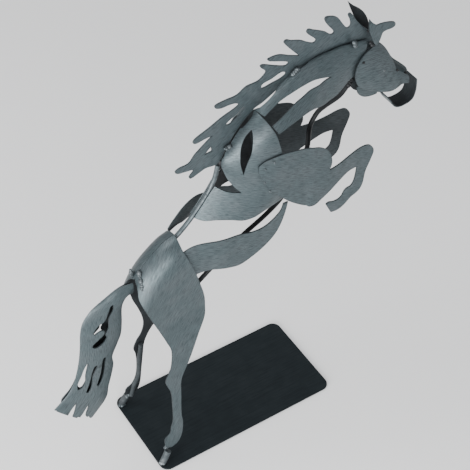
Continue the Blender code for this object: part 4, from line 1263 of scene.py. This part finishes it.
@dataclass
class Muzzle:
    """Strip bent round the open mouth.

    Attributes:
        path: the strip in side elevation.
        half_width: how far it reaches to each side.
        thick: thickness of the steel.
        step: mesh step along it.
        rows: vertices across it.
        stroke: step of the brush strokes' pattern for each vertex along and across.
    """

    path: Outline = MUZZLE_PATH
    half_width: float = MUZZLE_HALF_WIDTH
    thick: float = SHEET
    step: float = 1.2
    rows: int = 9
    stroke: tuple[float, float] = (0.12, 0.2)

    def build(self, shop: Workshop) -> None:
        """Bend and paint the strip.

        Args:
            shop: the workshop that finishes it.
        """
        line = rounded(self.path, self.step, closed=False)
        rows = self.rows
        verts, faces = [], []
        last = len(line) - 1
        for i, p in enumerate(line):
            along = (line[min(i + 1, last)] - line[max(i - 1, 0)]).normalized()
            out = Vector((-along.y, along.x)) * self.thick / 2
            for q, order in ((p + out, range(rows)), (p - out, reversed(range(rows)))):
                for k in order:
                    verts.append((q.x, self.half_width * (2 * k / (rows - 1) - 1), q.y))
        count = 2 * rows
        for i in range(last):
            for k in range(count):
                a, b = i * count + k, i * count + (k + 1) % count
                faces.append((a, a + count, b + count, b))
        faces.append(tuple(range(count)))
        faces.append(tuple(reversed(range(last * count, (last + 1) * count))))
        obj = shop.mesh("muzzle_strip", verts, faces)
        layer = obj.data.uv_layers.new(name="brush")
        for loop in obj.data.loops:
            i, k = divmod(loop.vertex_index, count)
            across = k if k < rows else count - 1 - k
            layer.data[loop.index].uv = (i * self.stroke[0], across * self.stroke[1])
        store(obj.data, "rim", [self.half_width] * len(verts))
        # Painted shade: the inside face of the band is painted black.
        store(obj.data, "inner", [float(i % count < rows) for i in range(len(verts))])
        shop.soften(obj, FILED_SHEET)
        shop.hand_over(obj, Paint.SHEET, "muzzle_band")


@dataclass(frozen=True)
class Assembly:
    """Pieces of the horse that are made together.

    Attributes:
        name: which part of the horse they are.
        pieces: the pieces, in the order that they are made.
    """

    name: str
    pieces: tuple[BasePlate | SteelSheet | Rod | Muzzle, ...]

    def build(self, shop: Workshop) -> None:
        """Build the pieces.

        Args:
            shop: the workshop that finishes them.
        """
        for piece in self.pieces:
            piece.build(shop)


def head_sheet(node: str, outline: Outline, surface: Surface, side: Side, brush: float = HEAD_BRUSH,
               **more: object) -> SteelSheet:
    """Plan a sheet with the head's finer mesh."""
    return SteelSheet(node, outline, surface, side, brush, step=HEAD_STEP, edge=HEAD_CUT, **more)


RIGHT, LEFT = Side.RIGHT, Side.LEFT
# Each sheet's inner face is painted black as shade, by its own share; the far flank strip, far foreleg and
# neck get less, the mane, near tail and far face none
HORSE = (
    Assembly("base", (BasePlate(),)),
    Assembly("hind quarters", (
        SteelSheet("hind_leg_right", LEG_OUTLINE, HAUNCH, RIGHT, HAUNCH_BRUSH, flush=4.0),
        SteelSheet("hind_leg_left", FAR_LEG_OUTLINE, HAUNCH, LEFT, HAUNCH_BRUSH, flush=4.0),
        SteelSheet("flank_strip_right", FLANK_OUTLINE, Field(flank_y), RIGHT, STRIP_BRUSH),
        SteelSheet("flank_strip_left", FAR_FLANK_OUTLINE, Field(far_flank_y), LEFT, STRIP_BRUSH,
                   primer=0.62),
        # Painted shade: the leg rods and the far hoof are darkened, the near hoof a little, for the shade
        # they stand in
        Rod("leg_rod_right", LEG_ROD_PATH, shade=0.8),
        Rod("leg_rod_left", FAR_LEG_ROD_PATH, shade=0.8),
        Rod("hoof_right", mirrored(HOOF_PATH), HOOF, Paint.HOOF, shade=0.3),
        Rod("hoof_left", HOOF_PATH, HOOF, Paint.HOOF, shade=0.75),
    )),
    Assembly("trunk", (
        Rod("spine_rod", SPINE_PATH),
        Rod("belly_rod", BELLY_PATH, paint=Paint.DARK_ROD),
        *(SteelSheet(node, TORSO_OUTLINE, TORSO, side, TORSO_BRUSH, (LEAF_SLOT,), flush=5.0)
          for node, side in (("torso_side_right", RIGHT), ("torso_side_left", LEFT))),
    )),
    Assembly("forelegs", (
        SteelSheet("foreleg_right", FORELEG_OUTLINE, Field(shoulder_y), RIGHT, FORELEG_BRUSH),
        SteelSheet("foreleg_left", shifted(FORELEG_OUTLINE, FAR_FORELEG_SHIFT), Field(shoulder_y), LEFT,
                   FORELEG_BRUSH, primer=0.7),
    )),
    Assembly("neck and mane", (
        SteelSheet("neck", NECK_OUTLINE, NECK, RIGHT, NECK_BRUSH, primer=0.4, flush=5.0),
        SteelSheet("mane", MANE_OUTLINE, Flat(), LEFT, MANE_BRUSH, MANE_SLOTS, Paint.MANE, edge=FINE_CUT,
                   primer=0.0),
    )),
    Assembly("tail", (
        SteelSheet("tail_right", TAIL_OUTLINE, TAIL, RIGHT, TAIL_BRUSH, TAIL_SLOTS, edge=FINE_CUT,
                   primer=0.0, flush=3.0),
        SteelSheet("tail_left", FAR_TAIL_OUTLINE, FAR_TAIL, LEFT, TAIL_BRUSH, FAR_TAIL_SLOTS,
                   edge=FINE_CUT),
    )),
    Assembly("head", (
        head_sheet("face_right", FACE_OUTLINE, HEAD, RIGHT),
        head_sheet("face_left", FAR_FACE_OUTLINE, HEAD, LEFT, primer=0.0),
        head_sheet("jaw_right", JAW_OUTLINE, Flat(JAW_Y), RIGHT),
        head_sheet("jaw_left", JAW_OUTLINE, Flat(JAW_Y), LEFT),
        Muzzle(),
        head_sheet("ear_left", FAR_EAR_OUTLINE, Flat(FAR_EAR_Y), LEFT, EAR_BRUSH, paint=Paint.MANE),
        head_sheet("ear_right", NEAR_EAR_OUTLINE, Flat(NEAR_EAR_Y), RIGHT, EAR_BRUSH),
    )),
)

# Weld metal that joins the pieces, and two dark marks that stand for dents on the face. Beads in black rod
# lacquer are painted shade, set where gaps, cracks and the dents lie in shade.
WELDS = (
    Weld("weld_hoof_right", mirrored(HOOF_WELD), 1.7, 1.8, 0.3, 3),
    Weld("weld_hoof_left", HOOF_WELD, 1.7, 1.8, 0.3, 4),
    Weld("weld_ankle_right", ((10, -37.5, 15), (13.5, -37.8, 17.5)), 1.8, 1.8, 0.3, 5),
    Weld("weld_ankle_left", ((9, 38.2, 15), (13, 37.4, 18.5)), 1.8, 1.8, 0.3, 6),
    Weld("weld_tail_right", ((13.2, -2.4, 236), (12.8, -5, 232.6), (11.6, -9, 228),
                             (10.6, -11.6, 224)), 1.9, 1.9, 0.35, 7),
    Weld("weld_tail_left", ((8.5, 5, 236), (9.3, 5.5, 232), (10, 5, 228)), 1.7, 1.9, 0.35, 8),
    Weld("weld_crest", ((105, -2.6, 340.5), (108, -2.8, 341.5)), 2.0, 1.5, 0.2, 9),
    Weld("weld_neck_upper", ((171.4, -3, 393.4), (175.8, -3, 396.4)), 2.1, 1.7, 0.15, 10),
    Weld("weld_poll", ((233, -5.4, 403), (233.6, -6, 399.6)), 2.1, 1.6, 0.15, 11),
    Weld("weld_ear", ((250, -6.4, 396), (252, -6.6, 393)), 1.5, 1.5, 0.2, 12, Paint.DARK_ROD),
    Weld("weld_spine_front", ((99, 0, 319), (100.5, 0, 325)), 2.0, 1.8, 0.2, 13, Paint.DARK_ROD),
    Weld("weld_spine_rear", ((20, 0, 236), (27, 0, 243.5)), 2.2, 2.2, 0.2, 14),
    Weld("weld_throat", ((232, 0, 350), (236, 0, 353.5)), 2.4, 1.8, 0.2, 15, Paint.DARK_ROD),
    Weld("weld_shoulder_a", ((135.5, -31.3, 331), (136, -31.3, 330.6)), 1.0, 1.0, 0.1, 16),
    Weld("weld_shoulder_b", ((126.4, -31.2, 327.8), (126.8, -31.2, 327.4)), 1.0, 1.0, 0.1, 17),
    Weld("weld_shoulder_c", ((126, -31.2, 312.2), (126.2, -31.2, 311.6)), 1.1, 1.0, 0.1, 18),
    Weld("weld_shoulder_d", ((131.8, -31.2, 299.2), (132.3, -31.2, 298.6)), 1.0, 1.0, 0.1, 19),
    Weld("face_dent_eye", ((241.0, -9.9, 380.6), (241.5, -9.9, 380.2)), 1.1, 1.0, 0.1, 20,
         Paint.DARK_ROD),
    Weld("face_dent_nose", ((281.6, -7.7, 353.2), (283.6, -7.6, 352.2)), 1.0, 0.9, 0.2, 21,
         Paint.DARK_ROD),
    Weld("weld_jaw_root", ((235.1, -2.0, 357.9), (236.3, -2.0, 359.1)), 1.5, 1.2, 0.15, 23,
         Paint.DARK_ROD),
    Weld("weld_forelock", ((250.3, -1.0, 405.0), (251.5, -1.0, 406.2)), 1.3, 1.2, 0.15, 24,
         Paint.DARK_ROD),
    Weld("weld_nose", ((294.8, -4.0, 340.6), (296.0, -4.0, 341.8)), 1.3, 1.2, 0.15, 25, Paint.DARK_ROD),
    Weld("weld_cheek", ((264.9, -10.2, 361.5), (265.6, -10.2, 361.2)), 0.9, 0.9, 0.1, 22),
)


@dataclass(frozen=True)
class Lamp:
    """Soft lamp that faces the horse.

    Attributes:
        name: the lamp's name.
        place: where it hangs, in metres.
        size: its width and height in metres.
        watts: its power.
    """

    name: str
    place: Point
    size: tuple[float, float]
    watts: float


LAMPS = (
    Lamp("low panel", (-0.9, -1.12, 0.47), (0.95, 0.38), 19.0),
    Lamp("rear panel", (-1.4, -0.4, 0.34), (0.7, 0.45), 20.0),
    Lamp("overhead", (-0.7, 0.3, 1.7), (1.0, 1.0), 14.0),
    Lamp("fill", (0.9, -1.3, 1.0), (1.2, 1.2), 1.5),
)


@dataclass
class Studio:
    """Pale floor, soft lights and the camera.

    Attributes:
        camera_at: camera position in the frame's metres.
        looks: direction that the camera looks in.
        lens: focal length in millimetres.
        film: width of the picture's frame in millimetres.
        aim: what the lamps face.
        floor_size: width of the floor in metres.
        floor_drop: how far it lies under the plate, in metres.
        floor_tone: grey of the floor.
        floor_shade: how much darker its darkest clouds are.
        floor_cloud: size and detail of those clouds.
        floor_levels: where the clouds start and where they are full.
        floor_roughness: roughness of the floor.
        sky_colour: colour of the even light from all round.
        sky: strength of that light.
    """

    camera_at: Point = (-0.4449, -0.7255, 1.1142)
    looks: Point = (0.373, 0.588, -0.718)
    lens: float = 102.67
    film: float = 36.0
    aim: Point = (0.0, 0.0, 0.25)
    floor_size: float = 8.0
    floor_drop: float = 0.0003
    floor_tone: float = 0.93
    floor_shade: float = 0.01
    floor_cloud: tuple[float, float] = (3.0, 2.0)
    floor_levels: tuple[float, float] = (0.3, 0.7)
    floor_roughness: float = 0.7
    sky_colour: Colour = (0.97, 0.98, 1.0)
    sky: float = 0.8

    def build(self) -> None:
        """Set up the stage, the lights and the camera."""
        self._floor()
        self._world()
        for lamp in LAMPS:
            self._hang(lamp)
        self._camera()

    def _floor(self) -> None:
        """Lay a wide pale floor."""
        half = self.floor_size / 2
        mesh = bpy.data.meshes.new("floor")
        corners = ((-half, -half), (half, -half), (half, half), (-half, half))
        mesh.from_pydata([(x, y, -self.floor_drop) for x, y in corners], [], [(0, 1, 2, 3)])
        floor = linked("floor", mesh)
        mat = bpy.data.materials.new("pale floor")
        mat.use_nodes = True
        shader = mat.node_tree.nodes["Principled BSDF"]
        nodes = Nodes(mat.node_tree)
        place = nodes.add("ShaderNodeTexCoord")
        cloud = nodes.spread(nodes.noise(place.outputs["Object"], *self.floor_cloud), *self.floor_levels,
                             (self.floor_tone - self.floor_shade, self.floor_tone))
        tone = nodes.add("ShaderNodeCombineColor", {0: cloud, 1: cloud, 2: cloud})
        mat.node_tree.links.new(tone.outputs[0], shader.inputs["Base Color"])
        shader.inputs["Roughness"].default_value = self.floor_roughness
        mesh.materials.append(mat)

    def _world(self) -> None:
        """Light the scene evenly from all round."""
        world = bpy.data.worlds.new("studio")
        world.use_nodes = True
        background = world.node_tree.nodes["Background"]
        background.inputs[0].default_value = (*self.sky_colour, 1.0)
        background.inputs[1].default_value = self.sky
        bpy.context.scene.world = world

    def _hang(self, lamp: Lamp) -> None:
        """Hang a lamp.

        Args:
            lamp: where it hangs, its size and its power.
        """
        light = bpy.data.lights.new(lamp.name, "AREA")
        light.shape = "RECTANGLE"
        light.size, light.size_y = lamp.size
        light.energy = lamp.watts
        self._turn(linked(lamp.name, light), lamp.place, Vector(self.aim) - Vector(lamp.place))

    def _turn(self, obj: bpy.types.Object, place: Point, toward: Vector) -> None:
        """Place a lamp or the camera and turn it in a direction."""
        obj.location = place
        obj.rotation_euler = toward.to_track_quat("-Z", "Y").to_euler()

    def _camera(self) -> None:
        """Set the camera where the photograph was taken from."""
        data = bpy.data.cameras.new("camera")
        data.lens = self.lens
        data.sensor_width = self.film
        camera = linked("camera", data)
        self._turn(camera, self.camera_at, Vector(self.looks))
        bpy.context.scene.camera = camera


def main() -> None:
    """Build the studio and the horse."""
    logging.basicConfig(level=logging.INFO, format="%(name)s %(message)s")
    Studio().build()
    shop = Workshop()
    for assembly in HORSE:
        assembly.build(shop)
        LOG.info("%s: %d pieces so far", assembly.name, shop.count)
    tree = WeldTree(shop)
    for weld in WELDS:
        tree.run(weld)
    LOG.info("welds: %d pieces so far", shop.count)


if __name__ == "__main__":
    main()
